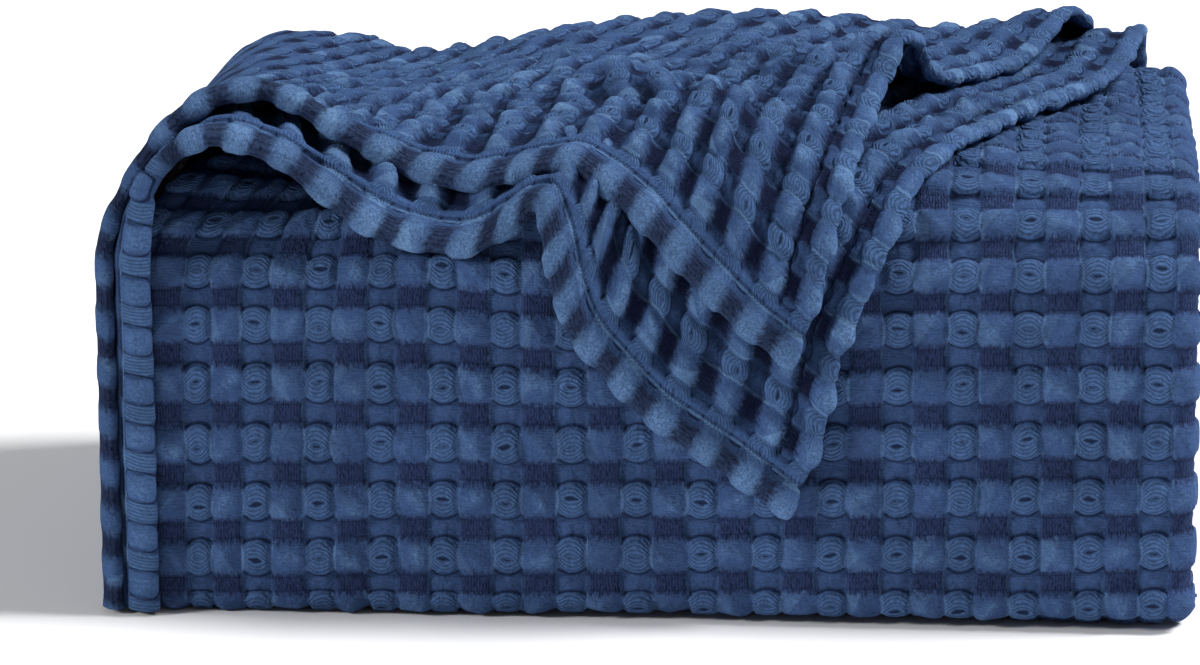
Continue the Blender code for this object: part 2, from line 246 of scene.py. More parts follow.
    def framed(self, s: Array, t: Array) -> Array:
        """Works out the relief where sunken pads lie framed in a flat hem.

        Args:
            s: Places across the eyes.
            t: Places along the ribs.

        Returns:
            Heights, above 0 on the pads and below 0 round them.
        """
        across, along = (np.abs(distance) / half for distance, half in zip(
            self.from_pit(s, t), self.framed_half))
        reach = (across**3 + along**3) ** (1 / 3)
        frame = np.exp(-(((reach - 1) / 0.13) ** 2))
        return 0.0011 * np.clip(1.0 - reach**2, 0, 1) - 0.0008 * frame


TAUT_WEAVE = Weave()
LOOSE_WEAVE = Weave(
    pad_width=0.0158, rib_width=0.0120, pad_rise=-0.0006, pad_dome=0.0034, pad_square=2.4,
    pad_tilt=0.17, pad_crease=0.32, rib_rise=-0.0025, eye_rise=0.0013, pit_depth=0.0042,
    pit_dome=0.0016, edge=0.0030, crumple=0.0005, closed_edge=0.006, blur=1.8, label="loose")


@dataclass(frozen=True)
class Grid:
    """A mesh that a piece of cloth is laid on: points, cloth places and relief, by row.

    Attributes:
        points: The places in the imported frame, (rows, columns, 3).
        cloth: The places (s, t) on the cloth, (rows, columns, 2).
        height: The relief, (rows, columns).
        from_seam: Distances in from the nearest row of stitches, (rows, columns), or None.
    """

    points: Array
    cloth: Array
    height: Array
    from_seam: Array | None = None

    def part(self, first_row: int, last_row: int) -> Grid:
        """Cuts out some of its rows, both ends included."""
        rows = slice(first_row, last_row + 1)
        return Grid(self.points[rows], self.cloth[rows], self.height[rows])


def unit(vectors: Array) -> Array:
    """Gives the vectors a length of 1."""
    return vectors / np.maximum(np.linalg.norm(vectors, axis=-1, keepdims=True), 1e-12)


def surface_normals(points: Array) -> Array:
    """Works out the outward normals of a grid of points.

    Args:
        points: (rows, columns, 3), the columns running to the viewer's right and the rows up.

    Returns:
        Unit normals of the same shape.
    """
    along = np.gradient(points, axis=1)
    up = np.gradient(points, axis=0)
    return unit(np.cross(along, up))


class ClothPiece:
    def __init__(self, name: str, finish: Cotton) -> None:
        """Keeps the piece's name and finish."""
        self.name = name
        self.finish = finish

    def make(self, grid: Grid, closed_across: bool = False) -> bpy.types.Object:
        """Adds the mesh, lays it out, dresses it and makes it ride on the blanket's body.

        Args:
            grid: What the mesh is laid on.
            closed_across: Whether the last column is the first one again, as round a tube.

        Returns:
            The finished object.
        """
        rows, columns = grid.height.shape
        bpy.ops.object.select_all(action="DESELECT")
        bpy.ops.mesh.primitive_grid_add(
            x_subdivisions=columns - 1, y_subdivisions=rows - 1, size=2.0, calc_uvs=True)
        piece = bpy.context.object
        piece.name = piece.data.name = self.name
        mesh = piece.data
        flat = np.empty(len(mesh.vertices) * 3)
        mesh.vertices.foreach_get("co", flat)
        flat = flat.reshape(-1, 3)
        column = np.rint((flat[:, 0] + 1.0) / 2.0 * (columns - 1)).astype(int)
        row = np.rint((flat[:, 1] + 1.0) / 2.0 * (rows - 1)).astype(int)
        mesh.vertices.foreach_set("co", grid.points[row, column].ravel())

        corner_vertex = np.empty(len(mesh.loops), int)
        mesh.loops.foreach_get("vertex_index", corner_vertex)
        uv = grid.cloth[row, column][corner_vertex]
        mesh.uv_layers[0].name = "cloth"
        mesh.uv_layers[0].data.foreach_set("uv", uv.astype(np.float32).ravel())
        from_seam = np.ones_like(grid.height) if grid.from_seam is None else grid.from_seam
        for label, values in (("relief", grid.height), ("from_seam", from_seam)):
            attribute = mesh.attributes.new(label, "FLOAT", "POINT")
            attribute.data.foreach_set("value", values[row, column].astype(np.float32).ravel())
        if closed_across:
            self.weld_seam(piece)
        mesh.shade_smooth()
        mesh.update()
        mesh.materials.append(self.finish.material())
        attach(piece, BODY)
        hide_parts(NODE)
        LOG.info("%s: %d faces, %.3f square metres", self.name, len(mesh.polygons),
                 sum(face.area for face in mesh.polygons))
        return piece

    @staticmethod
    def weld_seam(piece: bpy.types.Object) -> None:
        """Merges the points that lie on each other where a tube of cloth closes.

        Args:
            piece: The cloth's object.
        """
        weld = piece.modifiers.new("seam", "WELD")
        weld.merge_threshold = 1e-6
        bpy.context.view_layer.objects.active = piece
        bpy.ops.object.modifier_apply(modifier=weld.name)


@dataclass(frozen=True)
class Stack:
    """The folded stack's sizes, as in the solid.

    Attributes:
        left, right, front, back, height: Its sides in its own frame.
        shoulder: Radius of the front top edge.
        foot: Radius of the front bottom edge.
        back_rounding: Radius of the back edges.
        left_rounding: Radius of the left top edge.
        folds: How many folds lie inside each other.
        cloth: Thickness of the cloth in the solid.
        right_roll: Radius of the outermost layer's right edge.
        top_soft: Over what width the top's rises and dips are smoothed.
        top_rise: How far the top lies above or below its height. Columns: x, rise.
    """

    left: float = -0.200
    right: float = 0.2055
    front: float = -0.140
    back: float = 0.140
    height: float = 0.171
    shoulder: float = 0.060
    foot: float = 0.011
    back_rounding: float = 0.018
    left_rounding: float = 0.042
    folds: int = 14
    cloth: float = 0.0032
    right_roll: float = 0.008
    top_soft: float = 0.025
    top_rise: Table = (
        (-0.260, 0.000),
        (-0.182, 0.001),
        (-0.150, -0.006),
        (-0.122, -0.011),
        (-0.080, -0.004),
        (-0.040, 0.004),
        (0.030, 0.009),
        (0.100, 0.004),
        (0.160, 0.000),
        (0.260, -0.002),
    )

    @property
    def pitch(self) -> float:
        """From one layer to the next."""
        return (self.height - self.cloth) / (2 * self.folds - 1)

    @property
    def up_shoulder(self) -> float:
        """Length from the floor to where the shoulder starts."""
        return self.height - self.shoulder

    @property
    def up_top(self) -> float:
        """Length from the floor to where the flat top starts."""
        return self.up_shoulder + self.shoulder * math.pi / 2

    @property
    def up_back(self) -> float:
        """Length from the floor to where the back edge starts to turn down."""
        return self.up_top + self.back - self.front - self.shoulder - self.back_rounding

    def sinking(self, x: Array) -> Array:
        """Gives how much lower or higher than its full height the stack is.

        Args:
            x: Places along X in its own frame.

        Returns:
            Factors, 1 at its full height.
        """
        places, rises = np.array(self.top_rise).T
        fine = np.linspace(places[0], places[-1], 200)
        spread = np.exp(-(((fine[:, None] - fine) / self.top_soft) ** 2))
        soft = spread @ np.interp(fine, places, rises) / spread.sum(axis=1)
        return 1.0 + np.interp(x, fine, soft) / self.height

    def settle(self, points: Array) -> Array:
        """Lets the cloth sink and rise with the stack's uneven top, and moves it to the frame.

        Args:
            points: Places in the stack's own frame.

        Returns:
            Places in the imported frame.
        """
        settled = points.copy()
        settled[..., 2] *= self.sinking(points[..., 0])
        return settled + STACK_FRAME

    def rounded_left(self, z: Array) -> Array:
        """Gives how far the left ends of the layers stand in, by their height."""
        above = np.clip(self.left_rounding - (self.height - z), 0.0, self.left_rounding)
        return self.left_rounding - np.sqrt(self.left_rounding**2 - above**2)

    def round_the_front(self, way: Array, lift: Array) -> tuple[Array, Array]:
        """Follows the outermost layer: along the bottom, up the front and back along the top.

        Args:
            way: Length from where the front bottom edge starts, less than 0 under the stack.
            lift: Height above the stack's outside.

        Returns:
            y and z.
        """
        foot_end = self.foot * math.pi / 2
        straight = self.up_shoulder - self.foot
        a = np.clip(way / self.foot, 0.0, math.pi / 2)
        b = np.clip((way - foot_end - straight) / self.shoulder, 0.0, math.pi / 2)
        up_front = np.clip(way - foot_end, 0.0, straight)
        on_top = np.maximum(way - foot_end - straight - self.shoulder * math.pi / 2, 0.0)
        under = np.maximum(-way, 0.0)
        y = self.front + self.foot + under - (self.foot + lift) * np.sin(a)
        y = y + (self.shoulder + lift) * (1 - np.cos(b)) + on_top
        z = self.foot - (self.foot + lift) * np.cos(a) + up_front
        z = z + (self.shoulder + lift) * np.sin(b)
        return y, z

    def over_the_top(self, up: Array, lift: Array) -> tuple[Array, Array]:
        """Follows a sheet that lies on the front, the shoulder, the top and the back.

        Args:
            up: Length from the floor in front.
            lift: Height above the stack's outside.

        Returns:
            y and z.
        """
        shoulder = np.clip((up - self.up_shoulder) / self.shoulder, 0.0, math.pi / 2)
        behind = np.clip((up - self.up_back) / self.back_rounding, 0.0, math.pi / 2)
        down = np.maximum(up - self.up_back - self.back_rounding * math.pi / 2, 0.0)
        y = self.front + self.shoulder - (self.shoulder + lift) * np.cos(shoulder)
        y = y + np.clip(up - self.up_top, 0.0, self.up_back - self.up_top)
        y = y + (self.back_rounding + lift) * np.sin(behind)
        z = np.minimum(up, self.up_shoulder) + (self.shoulder + lift) * np.sin(shoulder)
        z = z - (self.back_rounding + lift) * (1.0 - np.cos(behind)) - down
        return y, z


@dataclass(frozen=True)
class OuterLayer:
    """The stack's outermost layer, whose front and right top show.

    Attributes:
        stack: The stack that it lies on.
        weave: Its relief.
        inset: How deep its middle surface lies in the solid's outside.
        turned_in: How far its right edge goes on past its roll.
        under_end: How far back it reaches under the stack.
        step: Size of its grid's cells in front.
        top_step: Length of the cells on the top.
        hidden_step: Length of the cells under the stack.
        row_slope: How much the weave's rows climb to the right.
        first_eye: Where an eye's middle is, along X.
        first_row: Where a row of eyes is, up the front at X 0.
        pulled_left: How far the eyes are pulled to the left round X -0.055.
        pushed_right: How far the eyes at the left end are pushed to the right.
        pushed_up: How far the rows in the upper left are pushed up.
        flattened: How much flatter the weave is on the right roll.
        slack: How far the layer's surface wanders in and out.
    """

    stack: Stack
    weave: Weave = TAUT_WEAVE
    inset: float = 0.0012
    turned_in: float = 0.004
    under_end: float = 0.236
    step: float = 0.00106
    top_step: float = 0.0021
    hidden_step: float = 0.006
    row_slope: float = 0.0262
    first_eye: float = -0.1735
    first_row: float = 0.0258
    pulled_left: float = 0.0020
    pushed_right: float = 0.0026
    pushed_up: float = 0.0042
    flattened: float = 0.35
    slack: float = 0.0009

    def cloth_place(self, x: Array, up: Array) -> tuple[Array, Array]:
        """Finds the weave's place, which follows the rows and columns in the photograph.

        Args:
            x: The X that the place has before the layer's ends are rounded.
            up: Length from the floor in front.

        Returns:
            Places across the eyes and along the ribs.
        """
        s = x - self.first_eye - self.weave.eye_pitch / 2
        t = up * self.stack.sinking(x) - self.first_row - self.row_slope * x
        s = s + self.pulled_left * np.exp(-(((x + 0.055) / 0.045) ** 2))
        s = s - self.pushed_right * smooth_step(-x, 0.150, 0.180)
        t = t - self.pushed_up * smooth_step(up, 0.045, 0.115) * smooth_step(-x, 0.03, 0.09)
        s = s + 0.0007 * drift(s, t, 0.4)
        return s, t + 0.0008 * drift(s, t, 5.1)

    def build(self, finish: Cotton) -> None:
        """Lays out the layer and makes it, as one run of cloth in three pieces.

        Args:
            finish: The cotton it is made of.
        """
        stack = self.stack
        foot_end = stack.foot * math.pi / 2
        top_length = stack.back - stack.front - stack.shoulder - stack.back_rounding
        top_start = foot_end + stack.up_shoulder - stack.foot + stack.shoulder * math.pi / 2
        under = np.arange(-self.under_end, -0.02, self.hidden_step)
        shown = np.arange(-0.02, top_start, self.step)
        on_top = np.arange(top_start, top_start + top_length, self.top_step)
        way = np.concatenate([under, shown, on_top])
        width = stack.right - stack.left - stack.right_roll
        rolled = width + stack.right_roll * math.pi / 2
        across = np.arange(0.0, rolled + self.turned_in, self.step)
        across, way = np.meshgrid(across, way)

        up = way - foot_end + stack.foot
        x_flat = stack.left + across
        s, t = self.cloth_place(x_flat, up)
        roll = np.clip((across - width) / stack.right_roll, 0.0, math.pi / 2)
        height = self.weave.relief(s, t) * (1.0 - self.flattened * roll)
        past = np.maximum(across - rolled, 0.0)
        x = stack.left + np.minimum(across, width) + stack.right_roll * np.sin(roll)
        depth = stack.right_roll * (1.0 - np.cos(roll)) + past
        slack = self.slack * drift(x_flat * 0.6, up * 0.8, 2.2)
        y, z = stack.round_the_front(way, slack - self.inset - depth)
        x = x + stack.rounded_left(z) * (1.0 - smooth_step(across, 0.0, 0.11))
        points = stack.settle(np.stack([x, y, z], axis=-1))
        points = points + surface_normals(points) * height[..., None]
        points[..., 2] = np.maximum(points[..., 2], 0.0002)

        grid = Grid(points, np.stack([s, t], axis=-1), height)
        ends = (0, len(under), len(under) + len(shown), len(way[:, 0]) - 1)
        lengths = np.diff(way[ends, 0])
        names = ("outer_layer_bottom", "outer_layer_front", "outer_layer_top")
        for name, first, last, length in zip(names, ends, ends[1:], lengths):
            piece = ClothPiece(name, finish).make(grid.part(first, last))


@dataclass(frozen=True)
class InnerLayers:
    """The folded layers inside the outermost one, whose ends and back turns show.

    Attributes:
        stack: The stack that they belong to.
        weave: Their relief.
        relief_left: How much of the relief is left where they press on each other.
        thickness: How thick the cloth looks at its edge.
        along_step: Size of the grid's cells along the folded length.
        across_step: Size of the grid's cells across it.
        bottom_end: Where the bottom run ends, along Y.
        left_inset: How far in their left ends stand.
        short: How much of the length from end to end their flat part lacks.
        right_inset: How far in their right ends stand, well inside the stack.
        outer_inset: How much further in they stand near its outside.
        unevenness: How far the right ends wander, in a slow wave and a quick one.
    """

    stack: Stack
    weave: Weave = TAUT_WEAVE
    relief_left: float = 0.35
    thickness: float = 0.0042
    along_step: float = 0.0080
    across_step: float = 0.0120
    bottom_end: float = 0.060
    left_inset: float = 0.004
    short: float = 0.006
    right_inset: float = 0.004
    outer_inset: float = 0.008
    unevenness: tuple[float, float] = (0.0016, 0.0010)

    def back_limit(self, layers_in: float, top_side: bool) -> float:
        """Gives how far back a turn reaches.

        Args:
            layers_in: How many layers lie outside it.
            top_side: Whether it is in the upper half of the stack.

        Returns:
            Its y.
        """
        stack = self.stack
        edge_distance = stack.cloth / 2 + max(0.0, layers_in) * stack.pitch
        from_edge = max(0.0, stack.back_rounding - edge_distance)
        rounding = stack.back_rounding - math.sqrt(stack.back_rounding**2 - from_edge**2)
        uneven = 0.0018 * (1.0 + math.sin(1.9 * layers_in + (0.5 if top_side else 2.6)))
        return stack.back - stack.pitch / 2 - stack.cloth / 2 - rounding - uneven

    def fold(self, number: int) -> list[tuple[float, float]]:
        """Lists one fold's corners and bends, from its top run's back end to its bottom's.

        Args:
            number: 0 for the outermost fold.

        Returns:
            Points (y, z).
        """
        stack = self.stack
        inward = stack.cloth / 2 + number * stack.pitch
        front, top, bottom = stack.front + inward, stack.height - inward, inward
        span = top - bottom
        shoulder = min(max(stack.pitch / 2, stack.shoulder - inward), span / 2)
        foot = min(max(stack.pitch / 2, stack.foot - inward), span - shoulder)
        run = [(self.back_limit(2 * ((number + 1) // 2) - 0.5, True), top)]
        for angle in np.linspace(math.pi / 2, math.pi, 9):
            run.append((front + shoulder + shoulder * math.cos(angle),
                        top - shoulder + shoulder * math.sin(angle)))
        for angle in np.linspace(math.pi, 1.5 * math.pi, 6):
            run.append((front + foot + foot * math.cos(angle),
                        bottom + foot + foot * math.sin(angle)))
        run.append((self.back_limit(2 * (number // 2) + 0.5, False), bottom))
        return run

    def section(self) -> Array:
        """Lists the folded length's points, evenly spaced apart from the tight turns.

        Returns:
            Points (y, z).
        """
        stack = self.stack
        last = (self.back_limit(0.5, False), stack.cloth / 2)
        section: list[tuple[float, float]] = [(self.bottom_end, stack.cloth / 2), last]
        for number in range(1, stack.folds):
            run = self.fold(number)
            if number % 2:
                run.reverse()
            following = run[0]
            sense = 1.0 if following[1] > last[1] else -1.0
            middle = (last[1] + following[1]) / 2
            for angle in np.linspace(-sense * math.pi / 2, sense * math.pi / 2, 7)[1:-1]:
                section.append((last[0] + stack.pitch / 2 * math.cos(angle),
                                middle + stack.pitch / 2 * math.sin(angle)))
            section += run
            last = run[-1]
        return self.evenly_spaced(section)

    def evenly_spaced(self, line: list[tuple[float, float]]) -> Array:
        """Puts points into a line's long spans and leaves out those that nearly coincide.

        Args:
            line: The line's points (y, z).

        Returns:
            The new points.
        """
        spaced = [line[0]]
        for start, end in zip(line, line[1:]):
            count = max(1, round(math.dist(start, end) / self.along_step))
            for share in np.linspace(0.0, 1.0, count + 1)[1:]:
                spaced.append((start[0] + (end[0] - start[0]) * share,
                               start[1] + (end[1] - start[1]) * share))
        points = np.array(spaced)
        keep = np.linalg.norm(np.diff(points, axis=0), axis=1) > 0.0004
        return points[np.concatenate([[True], keep])]

    def tube(self) -> tuple[Array, Array, Array]:
        """Lists the points round the flattened tube of cloth, the last on the first.

        Returns:
            Each point's share of the way to the right, its side (1 outside, -1 inside) and
            how far it bulges out past the tube's ends, in half thicknesses.
        """
        flat = np.arange(0.0, 1.0, self.across_step / (self.stack.right - self.stack.left))
        ones, zeros = np.ones_like(flat), np.zeros_like(flat)
        end = np.linspace(0.0, math.pi, 6)
        share = np.concatenate([flat, np.ones(6), flat[::-1], np.zeros(6)])
        side = np.concatenate([ones, np.cos(end), -ones, -np.cos(end)])
        bulge = np.concatenate([zeros, np.sin(end), zeros, -np.sin(end)])
        share, side, bulge = (np.append(part, part[0]) for part in (share, side, bulge))
        return share, side, bulge

    def ends(self, section: Array, way: Array) -> tuple[Array, Array]:
        """Gives the X of the left and right ends along the folded length.

        Args:
            section: Its points (y, z).
            way: Their distances along it.

        Returns:
            The left ends and the right ends.
        """
        stack, (y, z) = self.stack, section.T
        depth_in = np.minimum(np.minimum(stack.height - z, z), y - stack.front)
        near_outside = np.exp(-np.maximum(depth_in - stack.pitch, 0.0) / stack.pitch)
        slow, quick = self.unevenness
        uneven = slow * np.sin(way * 2.4) + quick * np.sin(way * 7.7 + 1.0)
        right = stack.right - (self.right_inset + self.outer_inset * near_outside) + uneven
        return stack.left + stack.rounded_left(z), right

    def build(self, finish: Cotton) -> bpy.types.Object:
        """Lays out the layers as one flattened tube of cloth, folded back and forth.

        Args:
            finish: The cotton they are made of.

        Returns:
            The finished object.
        """
        stack = self.stack
        section = self.section()
        ahead = np.gradient(section, axis=0)
        ahead /= np.linalg.norm(ahead, axis=1, keepdims=True)
        outward = np.stack([ahead[:, 1], -ahead[:, 0]], axis=-1)
        way = np.concatenate([[0.0], np.cumsum(np.linalg.norm(np.diff(section, axis=0), axis=1))])
        half = self.thickness / 2
        share, side, bulge = self.tube()
        left, right = self.ends(section, way)
        x = left[:, None] + self.left_inset + (right - left - self.short)[:, None] * share
        x = x + half * bulge
        s, t = x - stack.left, np.broadcast_to(way[:, None], x.shape)
        height = self.relief_left * self.weave.relief(s, t)
        push = (half + height) * side
        y, z = (middle[:, None] + out[:, None] * push
                for middle, out in zip(section.T, outward.T))
        points = stack.settle(np.stack([x, y, z], axis=-1))
        points[..., 2] = np.maximum(points[..., 2], 0.0006)
        piece = ClothPiece("inner_layers", finish).make(
            Grid(points, np.stack([s, t], axis=-1), height), closed_across=True)
        return piece


@dataclass(frozen=True)
class Route:
    """A smooth line through a short table of places on a sheet.

    Attributes:
        line: Its points (across, up, lift).
        shares: How far along its length each point is, 0 to 1.
        length: Its length on the flat.
    """

    line: Array
    shares: Array
    length: float

    @classmethod
    def through(cls, table: Table, per_span: int = 24) -> Route:
        """Draws the line through a table's rows.

        Args:
            table: The rows (across, up, lift).
            per_span: Points from row to row.

        Returns:
            The line.
        """
        rows = np.array(table)
        padded = np.vstack([2 * rows[0] - rows[1], rows, 2 * rows[-1] - rows[-2]])
        t = np.linspace(0.0, 1.0, per_span, endpoint=False)[:, None]
        spans = []
        for before, start, end, after in zip(padded, padded[1:], padded[2:], padded[3:]):
            spans.append(0.5 * (2 * start + (end - before) * t
                                + (2 * before - 5 * start + 4 * end - after) * t**2
                                + (3 * start - before - 3 * end + after) * t**3))
        line = np.vstack(spans + [rows[-1:]])
        steps = np.linalg.norm(np.diff(line, axis=0), axis=1)
        lengths = np.concatenate([[0.0], np.cumsum(steps)])
        return cls(line, lengths / lengths[-1], float(lengths[-1]))

    def at(self, shares: Array) -> Array:
        """Gives the points at the given shares of the line's length."""
        return np.stack([np.interp(shares, self.shares, part) for part in self.line.T], axis=-1)


@dataclass(frozen=True)
class Hem:
    """A hem: the cloth's edge turned under and stitched down.

    Attributes:
        radius: Radius of the turned edge.
        depth: How far the turned edge reaches in.
        width: How far in the row of stitches is.
        wrap: How much of the outermost pads goes round the edge to the underside.
        puff: How far the hem bulges.
        evenness: How much flatter its cells are than the rest of the cloth's.
        groove: How deep the stitches draw the cloth in.
        narrowing: How much the first cells past the stitches are drawn together.
        strip: How far past the stitches a flat strip of cloth lies.
        pleat: Height of the long pleats in a hem that runs along the eyes' threads.
        stretch: How much longer the sunken pads are, and the eyes shorter, where a line of
            them lies in the hem.
    """

    radius: float = 0.0025
    depth: float = 0.0130
    width: float = 0.0120
    wrap: float = 0.0075
    puff: float = 0.0024
    evenness: float = 0.68
    groove: float = 0.0016
    narrowing: float = 0.0016
    strip: float = 0.0032
    pleat: float = 0.0007
    stretch: float = 0.75

    def profile(self, length: float, steps: Array) -> tuple[Array, Array, Array, Array]:
        """Lists the stations across an edge, from the turned part's end over the edge and on.

        Args:
            length: Length of the whole run of cloth from this edge.
            steps: Distances from the edge of the stations on the upper side.

        Returns:
            How far in each station is, how far below the upper side it lies, which way it
            faces (0 up, pi down) and its place along the cloth, less than 0 past the edge.
        """
        r = self.radius
        under = np.linspace(self.depth, r, 8)[:-1]
        turn = np.linspace(math.pi, 0.0, 8)[:-1]
        upper = steps[steps >= r]
        inset = np.concatenate([under, r - r * np.sin(turn), upper])
        drop = np.concatenate([np.full_like(under, 2 * r), r - r * np.cos(turn),
                               np.zeros_like(upper)])
        facing = np.concatenate([np.full_like(under, math.pi), turn, np.zeros_like(upper)])
        past = np.concatenate([r - under - math.pi * r / 2, r * (math.pi / 2 - turn),
                               upper + r * (math.pi / 2 - 1)])
        return inset / length, drop, facing, past

    def cell_place(self, place: Array, cell: float) -> Array:
        """Maps a distance from the edge onto the weave, with its first pads on the hem.

        Args:
            place: Distances from the edge, less than 0 on the underside.
            cell: The pads' size in this direction.

        Returns:
            Places in the weave, 0 in the middle of the first pads.
        """
        drawn = 0.004
        known = np.array([-1.0, -self.wrap, self.width, self.width + drawn, 2.0])
        there = np.array([-cell / 2 - 1.0 + self.wrap, -cell / 2, cell / 2,
                          cell / 2 + drawn + self.narrowing, 0.0])
        there[-1] = there[-2] + 2.0 - known[-2]
        return np.interp(place, known, there)

    def bulge(self, place: Array) -> Array:
        """Gives how far the hem stands out.

        Args:
            place: Distances from the edge.

        Returns:
            Heights, less than 0 at the stitches.
        """
        middle, half = (self.width - self.wrap) / 2, (self.width + self.wrap) / 2
        round_tube = np.sqrt(np.clip(1.0 - ((place - middle) / half) ** 2, 0, 1))
        groove = np.exp(-(((place - self.width - 0.0006) / 0.0013) ** 2))
        return self.puff * round_tube - self.groove * groove


@dataclass(frozen=True)
class TopSheet:
    """One of the two hemmed sheets on the stack.

    A place on it is known by its shares p along the left hem and q from that hem to the back,
    and by its lengths u in from the right hem's edge and v in from the left hem's.

    Attributes:
        name: The piece's name.
        stack: What it lies on.
        left_hem: Its left hem, from the free corner to the floor at the left.
        right_hem: Its right hem, from the free corner to the back.
        back_edge: Where it ends at the back.
        creases: Its soft ridges and troughs: from across, from up, to across, to up, width,
            height.
        resting_lift: Height of its middle above the stack.
        covered_from: Distance from its hems past which another sheet covers it, or 0.
        weave: Its relief.
        gather: How much smaller the weave's repeat is than on the taut layers, across the
            eyes and along the ribs.
        hem: How its left edge is turned.
        side_hem: How its right edge is turned.
        step: Size of its grid's cells where it shows.
        fine_along: How far from the right edge that size holds, and how far it grows past it.
        fine_inward: The same from the left hem's edge.
        side_bend, side_corner: How it goes round the stack's left side.
        tent: Across, where it starts to leave the shoulder, and where it is clear of it.
        tuck: Share of its length at which it turns in at the back.
        slip: How far along its left hem a line of eyes starts to run into the hem, and ends.
        pressed: How far left of the middle its weave starts to be pressed flat, and is.
        beside: How far left of the middle it starts to leave the stack, and hangs beside it.
        backward: The Y from which its weave flattens towards the back, and where it is flattest.
    """

    name: str
    stack: Stack
    left_hem: Table
    right_hem: Table
    back_edge: Table
    creases: Table
    resting_lift: float
    covered_from: float = 0.0
    weave: Weave = LOOSE_WEAVE
    gather: tuple[float, float] = (1.07, 1.12)
    hem: Hem = Hem()
    side_hem: Hem = Hem(radius=0.0017, width=0.0088, wrap=0.0060, puff=0.0005, evenness=0.25,
                        groove=0.0005, pleat=0.0003)
    step: float = 0.00106
    fine_along: tuple[float, float] = (0.34, 0.0026)
    fine_inward: tuple[float, float] = (0.09, 0.0021)
    side_bend: float = 0.038
    side_corner: float = 0.010
    tent: tuple[float, float] = (-0.095, -0.140)
    tuck: float = 0.965
    slip: tuple[float, float] = (0.0, 0.0)
    pressed: tuple[float, float] = (0.130, 0.178)
    beside: tuple[float, float] = (0.165, 0.195)
    backward: tuple[float, float] = (-0.01, 0.09)

    def lay(self, across: Array, up: Array, lift: Array) -> Array:
        """Puts places on the sheet into the stack's frame.

        Args:
            across: The X that the place would have on the flat top.
            up: Length from the floor in front.
            lift: Height above the stack.

        Returns:
            The points.
        """
        stack = self.stack
        y_on, z_on = stack.over_the_top(up, lift)
        y_flat = stack.front + stack.shoulder + (up - stack.up_top)
        tent = smooth_step(-across, -self.tent[0], -self.tent[1])
        y = y_on + (y_flat - y_on) * tent
        z = z_on + (stack.height + lift - z_on) * tent

        bend_start = stack.left + self.side_bend
        side_start = bend_start - self.side_bend * math.pi / 2
        bend = np.clip((bend_start - across) / self.side_bend, 0.0, math.pi / 2)
        x = np.maximum(across, bend_start) - (self.side_bend + lift) * np.sin(bend)
        z = z - (self.side_bend + lift) * (1.0 - np.cos(bend))
        z = z - np.maximum(side_start - across, 0.0)

        radius = self.side_corner
        past = np.maximum(radius + stack.up_top - stack.shoulder - up, 0.0)
        corner = np.clip(past / radius, 0.0, math.pi / 2)
        round_x = radius - (radius + lift) * np.cos(corner)
        round_x = round_x + lift + np.maximum(past - radius * math.pi / 2, 0.0)
        round_y = stack.front + radius - (radius + lift) * np.sin(corner)
        turned = smooth_step(bend, 0.3, 1.4) * (past > 0.0)
        x = x + turned * round_x
        y = y + turned * (round_y - y)
        return np.stack([x, y, z], axis=-1)

    def crease_height(self, across: Array, up: Array) -> Array:
        """Adds up the sheet's soft ridges and troughs.

        Args:
            across: Places across, as on the flat top.
            up: Lengths from the floor in front.

        Returns:
            Heights.
        """
        height = np.zeros_like(across)
        for from_across, from_up, to_across, to_up, width, size in self.creases:
            run = np.array([to_across - from_across, to_up - from_up])
            share = ((across - from_across) * run[0] + (up - from_up) * run[1]) / (run @ run)
            share = np.clip(share, 0.0, 1.0)
            distance = np.hypot(across - from_across - share * run[0],
                                up - from_up - share * run[1])
            height = height + size * np.exp(-((distance / width) ** 2))
        return height

    def surface(self, p: Array, q: Array, routes: tuple[Route, Route, Route]) -> Array:
        """Gives the points of the sheet's middle surface.

        Args:
            p: Share of the way along the left hem.
            q: Share of the way from the left hem to the back edge.
            routes: The left hem, the right hem and the back edge.

        Returns:
            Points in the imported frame.
        """
        left, right, edge = routes
        hem, side, back = left.at(p), right.at(q), edge.at(p)
        corner, foot, far = left.line[0], left.line[-1], right.line[-1]
        straight_hem = corner + (foot - corner) * p[..., None]
        straight_side = corner + (far - corner) * q[..., None]

        step = 0.03
        heading = left.at(np.clip(p + step, 0, 1)) - left.at(np.clip(p - step, 0, 1))
        heading = heading[..., :2] / np.linalg.norm(heading[..., :2], axis=-1, keepdims=True)
        square = np.stack([heading[..., 1], -heading[..., 0]], axis=-1)
        column = (back - straight_hem)[..., :2]
        reach = np.linalg.norm(column, axis=-1, keepdims=True)
        squaring = smooth_step(p, 0.0, 0.12) * smooth_step(1.0 - p, 0.0, 0.25)
        squaring = squaring * 0.8 * q * (1 - q) ** 3

        place = straight_hem + (back - straight_hem) * q[..., None]
        place = place + (hem - straight_hem) * (1.0 - smooth_step(q, 0.0, 0.8))[..., None]
        place = place + (side - straight_side) * ((1.0 - p) ** 2)[..., None]
        across = place[..., 0] + squaring * (square * reach - column)[..., 0]
        up = place[..., 1] + squaring * (square * reach - column)[..., 1]

        from_hem = q * reach[..., 0]
        from_side = p * float(np.linalg.norm((foot - corner)[:2]))
        near_hem = 1.0 - smooth_step(from_hem, 0.0, 0.065)
        near_side = (1.0 - smooth_step(from_side, 0.0, 0.050)) * (1.0 - near_hem)
        tuck = smooth_step(q, self.tuck, 1.0)
        lift = self.resting_lift + near_hem * (hem[..., 2] - self.resting_lift)
        lift = lift + near_side * (side[..., 2] - self.resting_lift)
        lift = lift + self.crease_height(across, up)
        lift = np.maximum(lift, self.resting_lift - 0.0008)
        lift = lift + tuck * (back[..., 2] - lift)
        return self.stack.settle(self.lay(across, up, lift))

